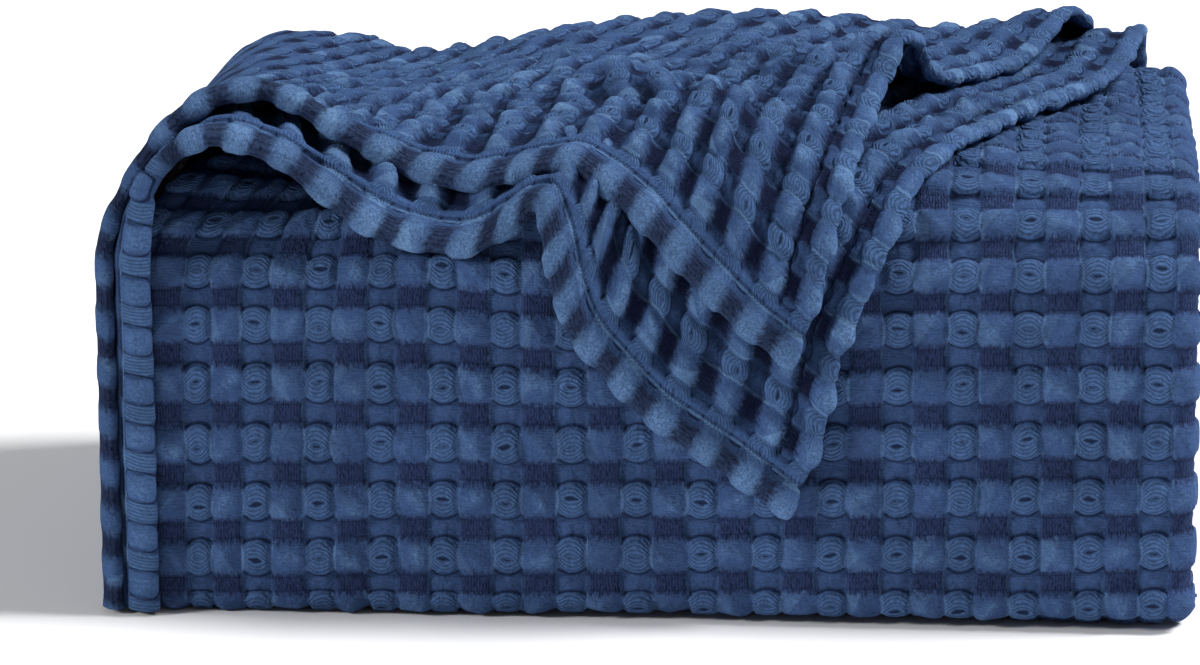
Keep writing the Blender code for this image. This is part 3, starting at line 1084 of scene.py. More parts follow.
    def stations(self, length: float, fine_until: float, coarse: float) -> Array:
        """Spaces the grid's lines: fine near the edge, coarser further in.

        Args:
            length: How far they reach.
            fine_until: Where the fine spacing ends.
            coarse: The spacing that it grows to.

        Returns:
            Distances from the edge.
        """
        places, step = [0.0], self.step
        while places[-1] < length:
            if places[-1] > fine_until:
                step = min(coarse, step * 1.03)
            places.append(places[-1] + step)
        return np.array(places) * (length / places[-1])

    def build(self, finish: Cotton) -> bpy.types.Object:
        """Lays out the sheet with its turned hems and makes it.

        Args:
            finish: The cotton it is made of.

        Returns:
            The finished object.
        """
        routes = tuple(Route.through(table)
                       for table in (self.left_hem, self.right_hem, self.back_edge))
        left, _, back = routes
        middle_column = back.line[len(back.line) // 2] - left.line[len(left.line) // 2]
        column_length = float(np.linalg.norm(middle_column[:2]))
        p, drop_u, facing_u, place_u = self.side_hem.profile(
            left.length, self.stations(left.length, *self.fine_along))
        q, drop_v, facing_v, place_v = self.hem.profile(
            column_length, self.stations(column_length, *self.fine_inward))
        p, q = np.meshgrid(p / p[-1], q / q[-1])
        points = self.surface(p, q, routes)
        along, inward, normal = self.directions(p, q, routes)

        u = self.cloth_length(points, place_u, axis=1)
        v = self.cloth_length(points, place_v, axis=0)
        s, t, framed = self.cloth_place(u, v)
        height = self.pressed_relief(points, s, t, u, v)
        u = u + 0.0010 * drift(s, t, 4.4) * smooth_step(u, 0.002, 0.006)
        v = v + 0.0006 * drift(t, s, 6.1) * smooth_step(v, 0.002, 0.006)
        height = self.hemmed(height, points, s, t, u, v, framed)
        from_seam = v - self.hem.width

        facing_u, facing_v = facing_u[None, :, None], facing_v[:, None, None]
        outward = normal * np.cos(facing_u) * np.cos(facing_v)
        outward = unit(outward - along * np.sin(facing_u) - inward * np.sin(facing_v))
        sunk = drop_u[None, :] + drop_v[:, None]
        points = points - normal * sunk[..., None] + outward * height[..., None]
        points[..., 2] = np.maximum(points[..., 2], 0.0006)
        grid = Grid(*(part[:, ::-1] for part in (
            points, np.stack([s, t], axis=-1), height, from_seam)))
        piece = ClothPiece(self.name, finish).make(grid)
        return piece

    def directions(self, p: Array, q: Array, routes: tuple[Route, Route, Route],
                   ) -> tuple[Array, Array, Array]:
        """Gives which way the sheet runs at every point.

        Args:
            p: Share of the way along the left hem.
            q: Share of the way from the left hem to the back edge.
            routes: The left hem, the right hem and the back edge.

        Returns:
            Unit vectors along the left hem, in from it and out of the sheet.
        """
        small = 1e-3
        along = self.surface(np.clip(p + small, 0, 1), q, routes)
        along = along - self.surface(np.clip(p - small, 0, 1), q, routes)
        inward = self.surface(p, np.clip(q + small, 0, 1), routes)
        inward = inward - self.surface(p, np.clip(q - small, 0, 1), routes)
        return unit(along), unit(inward), unit(np.cross(inward, along))

    def cloth_place(self, u: Array, v: Array) -> tuple[Array, Array, Array]:
        """Finds the weave's place from the distances to the hems.

        Args:
            u: Lengths in from the right hem's edge.
            v: Lengths in from the left hem's edge.

        Returns:
            Places across the eyes and along the ribs, and where sunken pads lie framed in the
            left hem, 0 to 1.
        """
        gather_s, gather_t = self.gather
        s = self.hem.cell_place(v, self.weave.pad_width / gather_s) * gather_s
        t = self.side_hem.cell_place(u, self.weave.pad_height / gather_t) * gather_t
        framed = np.zeros_like(u)
        if self.slip[1]:
            slipped = smooth_step(u, *self.slip)
            t = t - 0.35 * (v - 0.006) * slipped
            turn = 2 * math.pi / self.weave.rib_pitch
            s = s + (self.weave.eye_pitch / 2 - 0.0029) * slipped
            framed = slipped * (1.0 - smooth_step(v, self.hem.width, self.hem.width + 0.006))
            t = t + self.hem.stretch * framed * np.sin(t * turn) / turn
        s = s + 0.0016 * drift(s, t, 1.3) * smooth_step(v, 0.02, 0.05)
        t = t + 0.0016 * drift(s, t, 7.9) * smooth_step(u, 0.02, 0.05)
        return s, t, framed

    def pressed_relief(self, points: Array, s: Array, t: Array, u: Array, v: Array) -> Array:
        """Works out the weave's relief, flatter beside the stack and under the other sheet.

        Args:
            points: The middle surface.
            s, t: Places across the eyes and along the ribs.
            u, v: Lengths in from the right hem's edge and the left hem's.

        Returns:
            Heights.
        """
        height = self.weave.relief(s, t)
        leftward = -points[..., 0]
        pressed = smooth_step(leftward, *self.pressed) * smooth_step(v, 0.009, 0.018)
        height = height * (1.0 - 0.80 * pressed) - 0.0010 * pressed
        height = height * (1.0 - 0.65 * smooth_step(leftward, *self.beside) * (pressed < 0.5))
        if self.covered_from:
            covered = smooth_step(v, self.covered_from, self.covered_from + 0.02)
            covered = covered * smooth_step(u, self.covered_from + 0.01, self.covered_from + 0.03)
            height = height * (1.0 - 0.7 * covered) - 0.001 * covered
        return height

    def hemmed(self, height: Array, points: Array, s: Array, t: Array, u: Array, v: Array,
               framed: Array) -> Array:
        """Adds the two hems to the relief, and the flat strip beside the left one.

        Args:
            height: The relief so far.
            points: The middle surface.
            s, t: Places across the eyes and along the ribs.
            u, v: Lengths in from the right hem's edge and the left hem's.
            framed: Where sunken pads lie framed in the left hem.

        Returns:
            Heights.
        """
        hem, side_hem = self.hem, self.side_hem
        in_left, in_side = v - hem.width, u - side_hem.width
        inside = in_left > 0.0
        height = height * (1.0 - hem.evenness * (1.0 - smooth_step(in_left, -0.001, 0.001)))
        height = height * (1.0 - side_hem.evenness * (
            1.0 - smooth_step(in_side, -0.001, 0.001)) * inside)
        height = height + (self.weave.framed(s, t) - height) * framed * (in_left < 0.0)
        height = height + hem.bulge(v) * (
            1.0 - 0.5 * smooth_step(-points[..., 0], *self.beside))
        waves = 0.0007 * drift(s * 2.6, t * 2.6, 1.1)
        height = height + (side_hem.bulge(u) + waves * (in_side < 0.0)) * inside
        pleats = np.sin(2 * math.pi * u / 0.0050 + 2.6 * drift(s, t, 2.0))
        height = height + side_hem.pleat * pleats * inside * (
            1.0 - smooth_step(in_side, -0.003, 0.0))
        height = height * (1.0 - 0.45 * smooth_step(points[..., 1], *self.backward))
        strip = plateau(in_left - hem.strip, 0.0012, 0.0012)
        height = height * (1.0 - strip) + 0.0002 * strip
        return height * np.where(inside, 0.2 + 0.8 * smooth_step(in_left, 0.003, 0.009), 1.0)

    @staticmethod
    def cloth_length(points: Array, places: Array, axis: int) -> Array:
        """Measures the cloth from its edge along one direction of the grid.

        Args:
            points: The middle surface.
            places: The stations' places on the flat, less than 0 past the edge.
            axis: 0 to measure along the columns, 1 along the rows.

        Returns:
            Lengths, less than 0 on the part that is turned under.
        """
        steps = np.linalg.norm(np.diff(points, axis=axis), axis=-1)
        shape = (1, -1) if axis == 1 else (-1, 1)
        past = np.broadcast_to(places.reshape(shape), points.shape[:2])
        first = int(np.argmax(places > 0))
        steps = np.where((places[1:] > places[first]).reshape(shape), steps, 0.0)
        total = np.cumsum(steps, axis=axis)
        pad = [(1, 0), (0, 0)] if axis == 0 else [(0, 0), (1, 0)]
        total = np.pad(total, pad) + places[first]
        return np.where(past < places[first], past, total)


class Side(Enum):
    """Where a light stands."""

    RIGHT = "right"
    LEFT = "left"


@dataclass(frozen=True)
class Signal:
    """A shader value to calculate with: every operation adds a Math node to its graph."""

    graph: Graph
    socket: Socket

    def done(self, operation: str, *others: Value) -> Signal:
        """Gives the result of an operation on this value and, for some, on others."""
        return self.graph.math(operation, self, *others)

    def __add__(self, other: Value) -> Signal:
        """Adds another value."""
        return self.done("ADD", other)

    def __sub__(self, other: Value) -> Signal:
        """Takes another value away."""
        return self.done("SUBTRACT", other)

    def __rsub__(self, other: float) -> Signal:
        """Takes this value away from a number."""
        return self.graph.math("SUBTRACT", other, self)

    def __mul__(self, other: Value) -> Signal:
        """Multiplies by another value."""
        return self.done("MULTIPLY", other)

    def __truediv__(self, other: Value) -> Signal:
        """Divides by another value."""
        return self.done("DIVIDE", other)

    def __pow__(self, other: float) -> Signal:
        """Raises to a power."""
        return self.done("POWER", other)

    def __abs__(self) -> Signal:
        """Drops the sign."""
        return self.done("ABSOLUTE")

    def larger(self, other: Value) -> Signal:
        """Gives the larger of this value and another."""
        return self.done("MAXIMUM", other)

    def cosine(self) -> Signal:
        """Gives the cosine of this angle."""
        return self.done("COSINE")

    def fade(self, low: float, high: float, start: float = 0.0, end: float = 1.0) -> Signal:
        """Maps it smoothly from one range onto another.

        Args:
            low, high: The first range, past whose ends it stays the same.
            start, end: The second range.

        Returns:
            The mapped value.
        """
        node = self.graph.node(
            "ShaderNodeMapRange", interpolation_type="SMOOTHSTEP", clamp=True)
        limits = {"From Min": low, "From Max": high, "To Min": start, "To Max": end}
        for name, number in limits.items():
            node.inputs[name].default_value = number
        self.graph.feed(self, node.inputs["Value"])
        return Signal(self.graph, node.outputs[0])

    def near(self, place: float, solid: float, soft: float, strength: float) -> Signal:
        """Draws a line where it is close to a place.

        Args:
            place: The middle of the line.
            solid: How far from there it is at full strength.
            soft: How far from there it ends.
            strength: Its full strength.

        Returns:
            The line's mask.
        """
        return abs(self - place).fade(solid, soft, strength, 0.0)


class Graph:
    """Adds shader nodes to one tree and links them."""

    def __init__(self, tree: bpy.types.NodeTree) -> None:
        """Keeps the tree."""
        self.tree = tree

    def node(self, kind: str, **settings: object) -> bpy.types.Node:
        """Adds a node.

        Args:
            kind: Its type name.
            settings: Its properties.

        Returns:
            The node.
        """
        made = self.tree.nodes.new(kind)
        for key, value in settings.items():
            setattr(made, key, value)
        return made

    def feed(self, source: Value | tuple, target: Socket) -> None:
        """Feeds a socket.

        Args:
            source: A signal, a socket, a number or a colour.
            target: The socket.
        """
        source = source.socket if isinstance(source, Signal) else source
        if isinstance(source, bpy.types.NodeSocket):
            self.tree.links.new(source, target)
        else:
            target.default_value = source

    def math(self, operation: str, *values: Value) -> Signal:
        """Adds a Math node.

        Args:
            operation: Its operation.
            values: Its inputs.

        Returns:
            Its result.
        """
        node = self.node("ShaderNodeMath", operation=operation)
        for value, target in zip(values, node.inputs):
            self.feed(value, target)
        return Signal(self, node.outputs[0])

    def group(self, tree: bpy.types.NodeTree, **inputs: Value) -> dict[str, Signal]:
        """Adds a node group.

        Args:
            tree: The group.
            inputs: Its inputs, by name.

        Returns:
            Its results, by name.
        """
        node = self.node("ShaderNodeGroup", node_tree=tree)
        for name, value in inputs.items():
            self.feed(value, node.inputs[name])
        return {output.name: Signal(self, output) for output in node.outputs}

    def attribute(self, name: str) -> Signal:
        """Gives a value that the mesh carries."""
        return Signal(self, self.node("ShaderNodeAttribute", attribute_name=name).outputs["Fac"])

    def parts(self, kind: str, source: Value) -> list[Signal]:
        """Splits a vector or a colour.

        Args:
            kind: The type name of the node that does so.
            source: The vector or colour.

        Returns:
            Its parts.
        """
        node = self.node(kind)
        self.feed(source, node.inputs[0])
        return [Signal(self, output) for output in node.outputs]

    def blend(self, share: Value, low: Value | tuple, high: Value | tuple,
              kind: str = "MIX") -> Signal:
        """Mixes two colours.

        Args:
            share: How much of the second.
            low: The first colour.
            high: The second colour.
            kind: The way of mixing.

        Returns:
            The mixed colour.
        """
        node = self.node("ShaderNodeMix", data_type="RGBA", blend_type=kind)
        self.feed(share, node.inputs["Factor"])
        for colour, name in ((low, "A"), (high, "B")):
            opaque = (*colour, 1.0) if isinstance(colour, tuple) else colour
            self.feed(opaque, node.inputs[name])
        return Signal(self, node.outputs["Result"])

    def noise(self, place: Value, scale: float, detail: float = 2.0) -> Signal:
        """Adds a noise texture.

        Args:
            place: Where it is looked up.
            scale: How many specks a metre has.
            detail: How many finer layers it has.

        Returns:
            Its value, about 0 to 1.
        """
        node = self.node("ShaderNodeTexNoise")
        self.feed(place, node.inputs["Vector"])
        node.inputs["Scale"].default_value = scale
        node.inputs["Detail"].default_value = detail
        return Signal(self, node.outputs["Fac"])


def make_group(name: str, inputs: dict[str, str], outputs: tuple[str, ...],
               ) -> tuple[Graph, dict[str, Signal], bpy.types.Node]:
    """Starts a shader node group.

    Args:
        name: Its name.
        inputs: The kinds of its inputs, by name.
        outputs: The names of its outputs, which are numbers.

    Returns:
        Its graph, its inputs and its output node.
    """
    tree = bpy.data.node_groups.new(name, "ShaderNodeTree")
    for label, kind in inputs.items():
        tree.interface.new_socket(label, in_out="INPUT", socket_type="NodeSocket" + kind)
    for label in outputs:
        tree.interface.new_socket(label, in_out="OUTPUT", socket_type="NodeSocketFloat")
    graph = Graph(tree)
    start, end = graph.node("NodeGroupInput"), graph.node("NodeGroupOutput")
    return graph, {label: Signal(graph, start.outputs[label]) for label in inputs}, end


@dataclass(frozen=True)
class Threads:
    """How the weave's threads are drawn. Lengths are in millimetres.

    Attributes:
        eye: From one thread to the next in an eye.
        hem_eye: The same in an eye that lies in a hem.
        wobble: How far an eye's threads wander.
        sag: How much an eye's threads bend round its slit.
        shift: How far apart the slits may lie, along the ribs.
        lean: How differently they may lean, as rise over run.
        slit: Half the height of the widest slit.
        rib: From one thread to the next in a rib.
        rib_wobble: How far a rib's threads wander.
        ragged: How ragged the ends of the pads are.
    """

    eye: float = 1.6346
    hem_eye: float = 2.4286
    wobble: float = 1.7
    sag: float = 0.13
    shift: float = 3.0
    lean: float = 0.34
    slit: float = 0.9
    rib: float = 1.1
    rib_wobble: float = 2.2
    ragged: float = 7.0


class WeaveThreads:
    """The shader group that tells the weave's cells apart and draws their threads.

    Its inputs are the place on the cloth, in metres, and Hem, 1 where it is hemmed. Pad, Eye,
    Rib and Pit are masks of the four cells, Hollow is where shade is painted deep between
    them, Thread is how high a thread is and sets the painted shade between the threads, and
    Facet is where a highlight is painted on a pad's fuzz. Lengths inside it are in millimetres.
    """

    OUTPUTS = ("Pad", "Eye", "Rib", "Pit", "PaintedShade", "Thread", "PaintedHighlight")

    def __init__(self, name: str, weave: Weave, threads: Threads) -> None:
        """Starts the group, finds the place in its cell and tells the four cells apart.

        Args:
            name: The group's name.
            weave: The repeat, whose cells the relief has too.
            threads: How its threads are drawn.
        """
        self.weave, self.threads = weave, threads
        self.graph, given, self.end = make_group(
            name, {"Cloth": "Vector", "Hem": "Float"}, self.OUTPUTS)
        self.cloth, self.hem = given["Cloth"], given["Hem"]
        self.loose = 1.0 - self.hem
        s, self.t, _ = self.graph.parts("ShaderNodeSeparateXYZ", self.cloth)
        columns, rows = s / weave.eye_pitch, self.t / weave.rib_pitch
        eye_pitch, rib_pitch = weave.eye_pitch * MM, weave.rib_pitch * MM
        self.a = ((columns + 0.5).done("FRACT") - 0.5) * eye_pitch
        self.b = ((rows + 0.5).done("FRACT") - 0.5) * rib_pitch
        self.eye_a = (columns.done("FRACT") - 0.5) * eye_pitch
        self.chances = self.cell_chances(columns, rows)

        self.half_row = weave.pad_height * MM / 2
        pad_width, rib_width = weave.pad_width * MM, weave.rib_width * MM
        wave = (self.b * (2 * math.pi / rib_pitch)).cosine()
        half_column = wave * ((pad_width - rib_width) / 4) + (pad_width + rib_width) / 4
        self.past_side = abs(self.a) - half_column
        across_eye = abs(self.eye_a / (eye_pitch / 2 - half_column)).done("MINIMUM", 1.0)
        fan = (across_eye * (math.pi / 2)).cosine()
        half_eye = fan * (weave.eye_fan * MM) + (self.half_row - weave.eye_short * MM)
        self.past_eye = abs(self.b) - half_eye
        in_column = self.past_side.fade(-0.7 * weave.blur**2, 0.5 * weave.blur, 1.0, 0.0)
        self.between = 1.0 - in_column
        self.pad = in_column * self.in_row()
        self.rib = in_column - self.pad
        self.eye = self.between * self.past_eye.fade(-0.4, 0.5, 1.0, 0.0)
        self.pit = self.between - self.eye

    def cell_chances(self, columns: Signal, rows: Signal) -> list[Signal]:
        """Gives each cell three steady random numbers.

        Args:
            columns: The place across, counted in cells.
            rows: The place along, counted in cells.

        Returns:
            The numbers, from 0 to 1.
        """
        graph = self.graph
        cell = graph.node("ShaderNodeCombineXYZ")
        graph.feed((columns * 2.0 + 0.5).done("FLOOR"), cell.inputs[0])
        graph.feed((rows + 0.5).done("FLOOR"), cell.inputs[1])
        noise = graph.node("ShaderNodeTexWhiteNoise", noise_dimensions="3D")
        graph.feed(cell.outputs[0], noise.inputs["Vector"])
        return graph.parts("ShaderNodeSeparateColor", noise.outputs["Color"])

    def cloth_noise(self, across: float, along: float, detail: float = 3.0) -> Signal:
        """Adds noise that lies on the cloth.

        Args:
            across, along: How many specks a metre has each way.
            detail: How many finer layers it has.

        Returns:
            Its value, about 0 to 1.
        """
        stretch = self.graph.node("ShaderNodeMapping")
        stretch.inputs["Scale"].default_value = (across, along, 1.0)
        self.graph.feed(self.cloth, stretch.inputs["Vector"])
        return self.graph.noise(stretch.outputs[0], 1.0, detail)

    def in_row(self) -> Signal:
        """Tells the pads from the ribs, with a ragged edge and more softly in a hem.

        Returns:
            The mask of the pads' rows.
        """
        ragged = (self.cloth_noise(700.0, 500.0) - 0.5) * self.threads.ragged
        past = abs(self.b) - self.half_row + ragged
        firm = past.fade(-2.0 * self.weave.blur, 1.2 * self.weave.blur, 1.0, 0.0)
        return self.hem * (past.fade(-4.4, 2.2, 1.0, 0.0) - firm) + firm

    def eye_threads(self) -> tuple[Signal, Signal]:
        """Draws the threads that fan out round an eye's slit.

        Returns:
            How high the threads are, and the slit's mask.
        """
        threads, closed = self.threads, self.weave.closed_edge
        first, second, third = self.chances
        shift, lean = (first - 0.5) * threads.shift, (second - 0.5) * threads.lean
        wobble = (self.cloth_noise(300.0, 900.0, 2.0) - 0.5) * threads.wobble
        sag = self.eye_a * self.eye_a * (self.loose * threads.sag)
        level = abs(self.eye_a * lean + (self.b + shift)) + sag + wobble
        turn, hem_turn = 2 * math.pi / threads.eye, 2 * math.pi / threads.hem_eye
        thread = (level * (self.loose * (turn - hem_turn) + hem_turn)).cosine()
        slit = self.loose * (level - third * threads.slit).fade(-0.3, 0.15, 1.0, 0.0)
        if closed:
            slit = slit * self.t.fade(closed, 2 * closed)
        return (thread * 0.25 + 0.56) * (1.0 - slit), slit

    def rib_threads(self) -> tuple[Signal, Signal]:
        """Draws the short threads that cross a rib.

        Returns:
            How high the threads are, and the noise that they wander by.
        """
        noise = self.cloth_noise(1300.0, 420.0)
        place = noise * self.threads.rib_wobble + self.a
        thread = (place * (2 * math.pi / self.threads.rib)).cosine()
        return ((noise - 0.5) * 5.0 + thread * 0.45) * 0.38 + 0.50, noise

    def frame(self) -> Signal:
        """Draws the painted shade in the groove round the sunken pads that lie framed in a hem.

        Returns:
            The painted shade's mask.
        """
        half_width, half_height = (half * MM for half in self.weave.framed_half)
        across = abs(self.eye_a) / half_width
        along = (self.weave.rib_pitch * MM / 2 - abs(self.b)) / half_height
        reach = across**3.0 + along**3.0
        line = reach.fade(0.62, 0.9) * reach.fade(1.1, 1.6, 1.0, 0.0)
        return line * (self.hem * self.between)

    def painted_shade_mask(self, slit: Signal, rib_noise: Signal) -> Signal:
        """Finds where shade is painted into the hollows between its cells and threads.

        Args:
            slit: The mask of the eyes' slits.
            rib_noise: The noise that the ribs' threads wander by.

        Returns:
            How dark the painted shade is, 0 to 1.
        """
        # Painted shade in the grooves by the pads, below the eyes, in their slits and at the
        # ribs' ends.
        groove = abs(self.past_side).fade(0.0, 1.1, 1.0, 0.0)
        below_eye = self.past_eye.fade(0.0, 0.5) * self.past_eye.fade(0.5, 2.2, 1.0, 0.0)
        deep = below_eye.larger(groove * 0.7) * self.pit
        deep = deep.larger(slit * self.eye * 0.65).larger(groove * (self.eye * 0.35))
        dashes = abs(self.b).near(self.half_row + 1.2, 0.1, 0.7, 0.8)
        deep = deep.larger(dashes * (self.rib * rib_noise.fade(0.42, 0.6)))
        return (deep * (self.loose * 0.5 + 0.5)).larger(self.frame())

    def painted_highlights(self) -> Signal:
        """Finds where a highlight is painted on a pad's side, its rim and the edge by it.

        Returns:
            How much of the painted highlight lies there, 0 to 1.
        """
        first, second, third = self.chances
        from_fold = self.b * ((third - 0.5) * 2.2) + (second * 5.0 + self.a)
        side = from_fold.fade(-0.8, 0.8, 1.0, 0.0) * first.fade(0.25, 0.95)
        rim = self.past_side.fade(-2.2, -0.7) * second.fade(0.15, 0.8)
        rim = rim * (self.a * (third - 0.62)).fade(-0.3, 0.3)
        edge = self.past_side.fade(-1.0, -0.1) * self.past_side.fade(0.1, 0.8, 1.0, 0.0)
        edge = edge * (self.a.fade(2.0, 3.0) * first.fade(0.2, 0.9, 0.1, 0.85))
        return (self.pad * (side * 0.6).larger(rim)).larger(edge * self.loose)

    def build(self) -> bpy.types.NodeTree:
        """Draws the threads and feeds the group's outputs.

        Returns:
            The group.
        """
        eye_thread, slit = self.eye_threads()
        rib_thread, rib_noise = self.rib_threads()
        grain = self.cloth_noise(260.0, 1900.0) * 1.1 - 0.05
        thread = self.rib * rib_thread + (self.pad + self.pit) * grain
        thread = self.eye * eye_thread + thread
        results = (self.pad, self.eye, self.rib, self.pit, self.painted_shade_mask(slit, rib_noise),
                   thread, self.painted_highlights())
        for name, result in zip(self.OUTPUTS, results):
            self.graph.feed(result, self.end.inputs[name])
        return self.graph.tree


def weave_group(weave: Weave) -> bpy.types.NodeTree:
    """Gives a weave's group of cells and threads, which is made once."""
    name = "waffle_threads_" + weave.label
    return bpy.data.node_groups.get(name) or WeaveThreads(name, weave, Threads()).build()


def fuzz_group() -> bpy.types.NodeTree:
    """Gives the group for cotton's short loose fibres and its uneven dye, made once.

    Returns:
        The group. Its inputs are a place and the fibres' size in millimetres. Fibre is their
        fine grain, Dye a slow change of colour and Wrinkle the fine creases of washed cotton,
        all from 0 to 1.
    """
    existing = bpy.data.node_groups.get("cotton_fibres")
    if existing:
        return existing
    graph, given, end = make_group(
        "cotton_fibres", {"Place": "Vector", "Size": "Float"}, ("Fibre", "Dye", "Wrinkle"))
    place = given["Place"]
    fine = graph.node("ShaderNodeTexNoise")
    graph.feed(place, fine.inputs["Vector"])
    graph.feed(graph.math("DIVIDE", MM, given["Size"]), fine.inputs["Scale"])
    fine.inputs["Detail"].default_value = 4.0
    fine.inputs["Roughness"].default_value = 0.65
    graph.feed(fine.outputs["Fac"], end.inputs["Fibre"])
    graph.feed(graph.noise(place, 38.0, 3.0).fade(0.3, 0.7), end.inputs["Dye"])
    creased = abs(graph.noise(place, 190.0) - 0.5)
    graph.feed(creased.fade(0.0, 0.14), end.inputs["Wrinkle"])
    return graph.tree


@dataclass(frozen=True)
class Cotton:
    """The blanket's yarn dyed cotton.

    Attributes:
        name: The material's name.
        weave: The weave whose cells it colours.
        pad, eye, rib, pit: Colours of the weave's cells.
        shadow: Colour of the painted shade in the hollows and between the threads.
        highlight_colour: Colour of the painted highlights.
        high: Relief from which a painted highlight lightens the cloth, and where it is full.
        low: Relief where the painted shade of the hollows is darkest, and where it ends.
        deep_shade: How dark the painted shade is where the cloth lies deep.
        thread_gap_shade: How dark the painted shade is between the threads of the eyes and ribs.
        highlight_strength: How strong the painted highlight is on a pad's side, rim and edge.
        hem_highlight: How strong the painted highlight on a hem is.
        uneven_dye: How differently it is dyed from place to place.
        thread_depth: Height of a thread.
        fibre_size: Size of the fuzz's grain in millimetres.
        sheen: How much the fuzz catches light at a slant.
        ridge, stitches: How far in from the row of stitches the painted highlight on a hem's
        ridge and the painted shade in the groove beside it lie.
    """

    name: str = "blue_waffle_cotton"
    weave: Weave = TAUT_WEAVE
    pad: Colour = (0.036, 0.070, 0.168)
    eye: Colour = (0.046, 0.090, 0.200)
    rib: Colour = (0.023, 0.037, 0.098)
    pit: Colour = (0.042, 0.080, 0.190)
    shadow: Colour = (0.004, 0.008, 0.028)
    highlight_colour: Colour = (0.145, 0.268, 0.460)
    high: tuple[float, float] = (0.0010, 0.0046)
    low: tuple[float, float] = (-0.0048, -0.0002)
    deep_shade: float = 0.36
    thread_gap_shade: float = 0.66
    highlight_strength: float = 0.33
    hem_highlight: float = 0.04
    uneven_dye: float = 0.24
    thread_depth: float = 0.00075
    fibre_size: float = 0.9
    sheen: float = 0.06
    ridge: float = 0.0
    stitches: float = 0.0013

    def material(self) -> bpy.types.Material:
        """Makes the material, or gives it if it is made already.

        Returns:
            The material.
        """
        existing = bpy.data.materials.get(self.name)
        if existing:
            return existing
        material = bpy.data.materials.new(self.name)
        material.use_nodes = True
        graph = Graph(material.node_tree)
        shader = material.node_tree.nodes["Principled BSDF"]
        seam = graph.attribute("from_seam")
        on_hem = seam.fade(-0.001, 0.001, 1.0, 0.0)
        cloth = graph.node("ShaderNodeUVMap", uv_map="cloth").outputs[0]
        place = graph.node("ShaderNodeTexCoord").outputs["Object"]
        cells = graph.group(weave_group(self.weave), Cloth=cloth, Hem=on_hem)
        fuzz = graph.group(fuzz_group(), Place=place, Size=self.fibre_size)
        colour = self.colour(graph, cells, fuzz["Fibre"], seam, on_hem)
        graph.feed(self.worn(graph, colour, cells["Thread"], fuzz), shader.inputs["Base Color"])

        bump = graph.node("ShaderNodeBump")
        bump.inputs["Distance"].default_value = self.thread_depth
        bump.inputs["Strength"].default_value = 1.0
        height = fuzz["Wrinkle"] * 0.40 + (fuzz["Fibre"] * 0.30 + cells["Thread"])
        graph.feed(height, bump.inputs["Height"])
        graph.feed(bump.outputs[0], shader.inputs["Normal"])
        shader.inputs["Roughness"].default_value = 0.92
        shader.inputs["Specular IOR Level"].default_value = 0.06
        shader.inputs["Sheen Weight"].default_value = self.sheen
        shader.inputs["Sheen Roughness"].default_value = 0.45
        shader.inputs["Sheen Tint"].default_value = (0.26, 0.48, 1.0, 1.0)
        return material

    def colour(self, graph: Graph, cells: dict[str, Signal], fibre: Signal, seam: Signal,
               on_hem: Signal) -> Signal:
        """Colours the cells, then lays painted highlights and shade over them, one by one.

        Args:
            graph: The material's graph.
            cells: The results of the weave's group.
            fibre: The grain of the fuzz.
            seam: The distance in from the row of stitches.
            on_hem: The mask of the hems.

        Returns:
            The colour.
        """
        relief = graph.attribute("relief")
        # Painted highlight on what stands out in the relief, broken up by the fibres' grain.
        raised_highlight = relief.fade(*self.high) * fibre.fade(0.35, 0.65, 0.24, 0.62)
        # Painted shade where the relief lies deep and in the hollows between the cells.
        deep = relief.fade(*self.low, self.deep_shade, 0.0).larger(cells["PaintedShade"] * 0.85)
        # Painted shade between the threads of the eyes and ribs, where they lie low.
        gaps = cells["Thread"].fade(0.05, 0.60, self.thread_gap_shade, 0.0)
        layers = (
            (cells["Pad"], self.pad),
            (cells["Rib"], self.rib),
            (cells["Eye"], self.eye),
            (raised_highlight, self.highlight_colour),
            # Painted highlight on the pads' sides, rims and edges.
            (cells["PaintedHighlight"] * self.highlight_strength, self.highlight_colour),
            (deep, self.shadow),
            # Painted highlight on the hems, apart from their sunken pads.
            (on_hem * self.hem_highlight * (1.0 - cells["Pit"]), self.highlight_colour),
            (gaps * (cells["Eye"] + cells["Rib"]), self.shadow),
            # Painted highlight along the hem's ridge.
            (seam.near(self.ridge, 0.0002, 0.0008, 0.3), self.highlight_colour),
            (seam.near(Hem.strip, 0.0010, 0.0018, 0.8), self.pit),
            # Painted shade in the groove beside the stitches.
            (seam.near(self.stitches, 0.0003, 0.0010, 0.42), self.shadow),
        )
        colour = self.pit
        for share, paint in layers:
            colour = graph.blend(share, colour, paint)
        return colour

    def worn(self, graph: Graph, colour: Signal, thread: Signal,
             fuzz: dict[str, Signal]) -> Signal:
        """Makes the colour uneven: by the dye, by the fibres and by the threads, which paint
        shade where they lie low and give the pads' grain random streaks.

        Args:
            graph: The material's graph.
            colour: The colour so far.
            thread: How high the threads are.
            fuzz: The results of the fibres' group.

        Returns:
            The colour.
        """
        dyed = fuzz["Dye"] * self.uneven_dye + (1.0 - self.uneven_dye / 2)
        # Painted shade on low threads; on the pads and sunken pads the grain's streaks are
        # random.
        speckled = dyed * (thread.fade(0.2, 0.8, 0.88, 1.10) * fuzz["Fibre"].fade(
            0.32, 0.68, 0.84, 1.16))
        shade = graph.node("ShaderNodeCombineColor")
        for target in shade.inputs:
            graph.feed(speckled, target)
        return graph.blend(1.0, colour, shade.outputs[0], "MULTIPLY")


TAUT_COTTON = Cotton()
# The loose cloth's ribs are coloured far darker than the taut cloth's: partly their own darker
# threads, partly painted shade of the sunken ribs.
LOOSE_COTTON = Cotton(
    "blue_loose_cotton", LOOSE_WEAVE, pad=(0.038, 0.076, 0.181), eye=(0.046, 0.092, 0.202),
    rib=(0.008, 0.011, 0.036), pit=(0.038, 0.077, 0.184), deep_shade=0.80, highlight_strength=0.74)


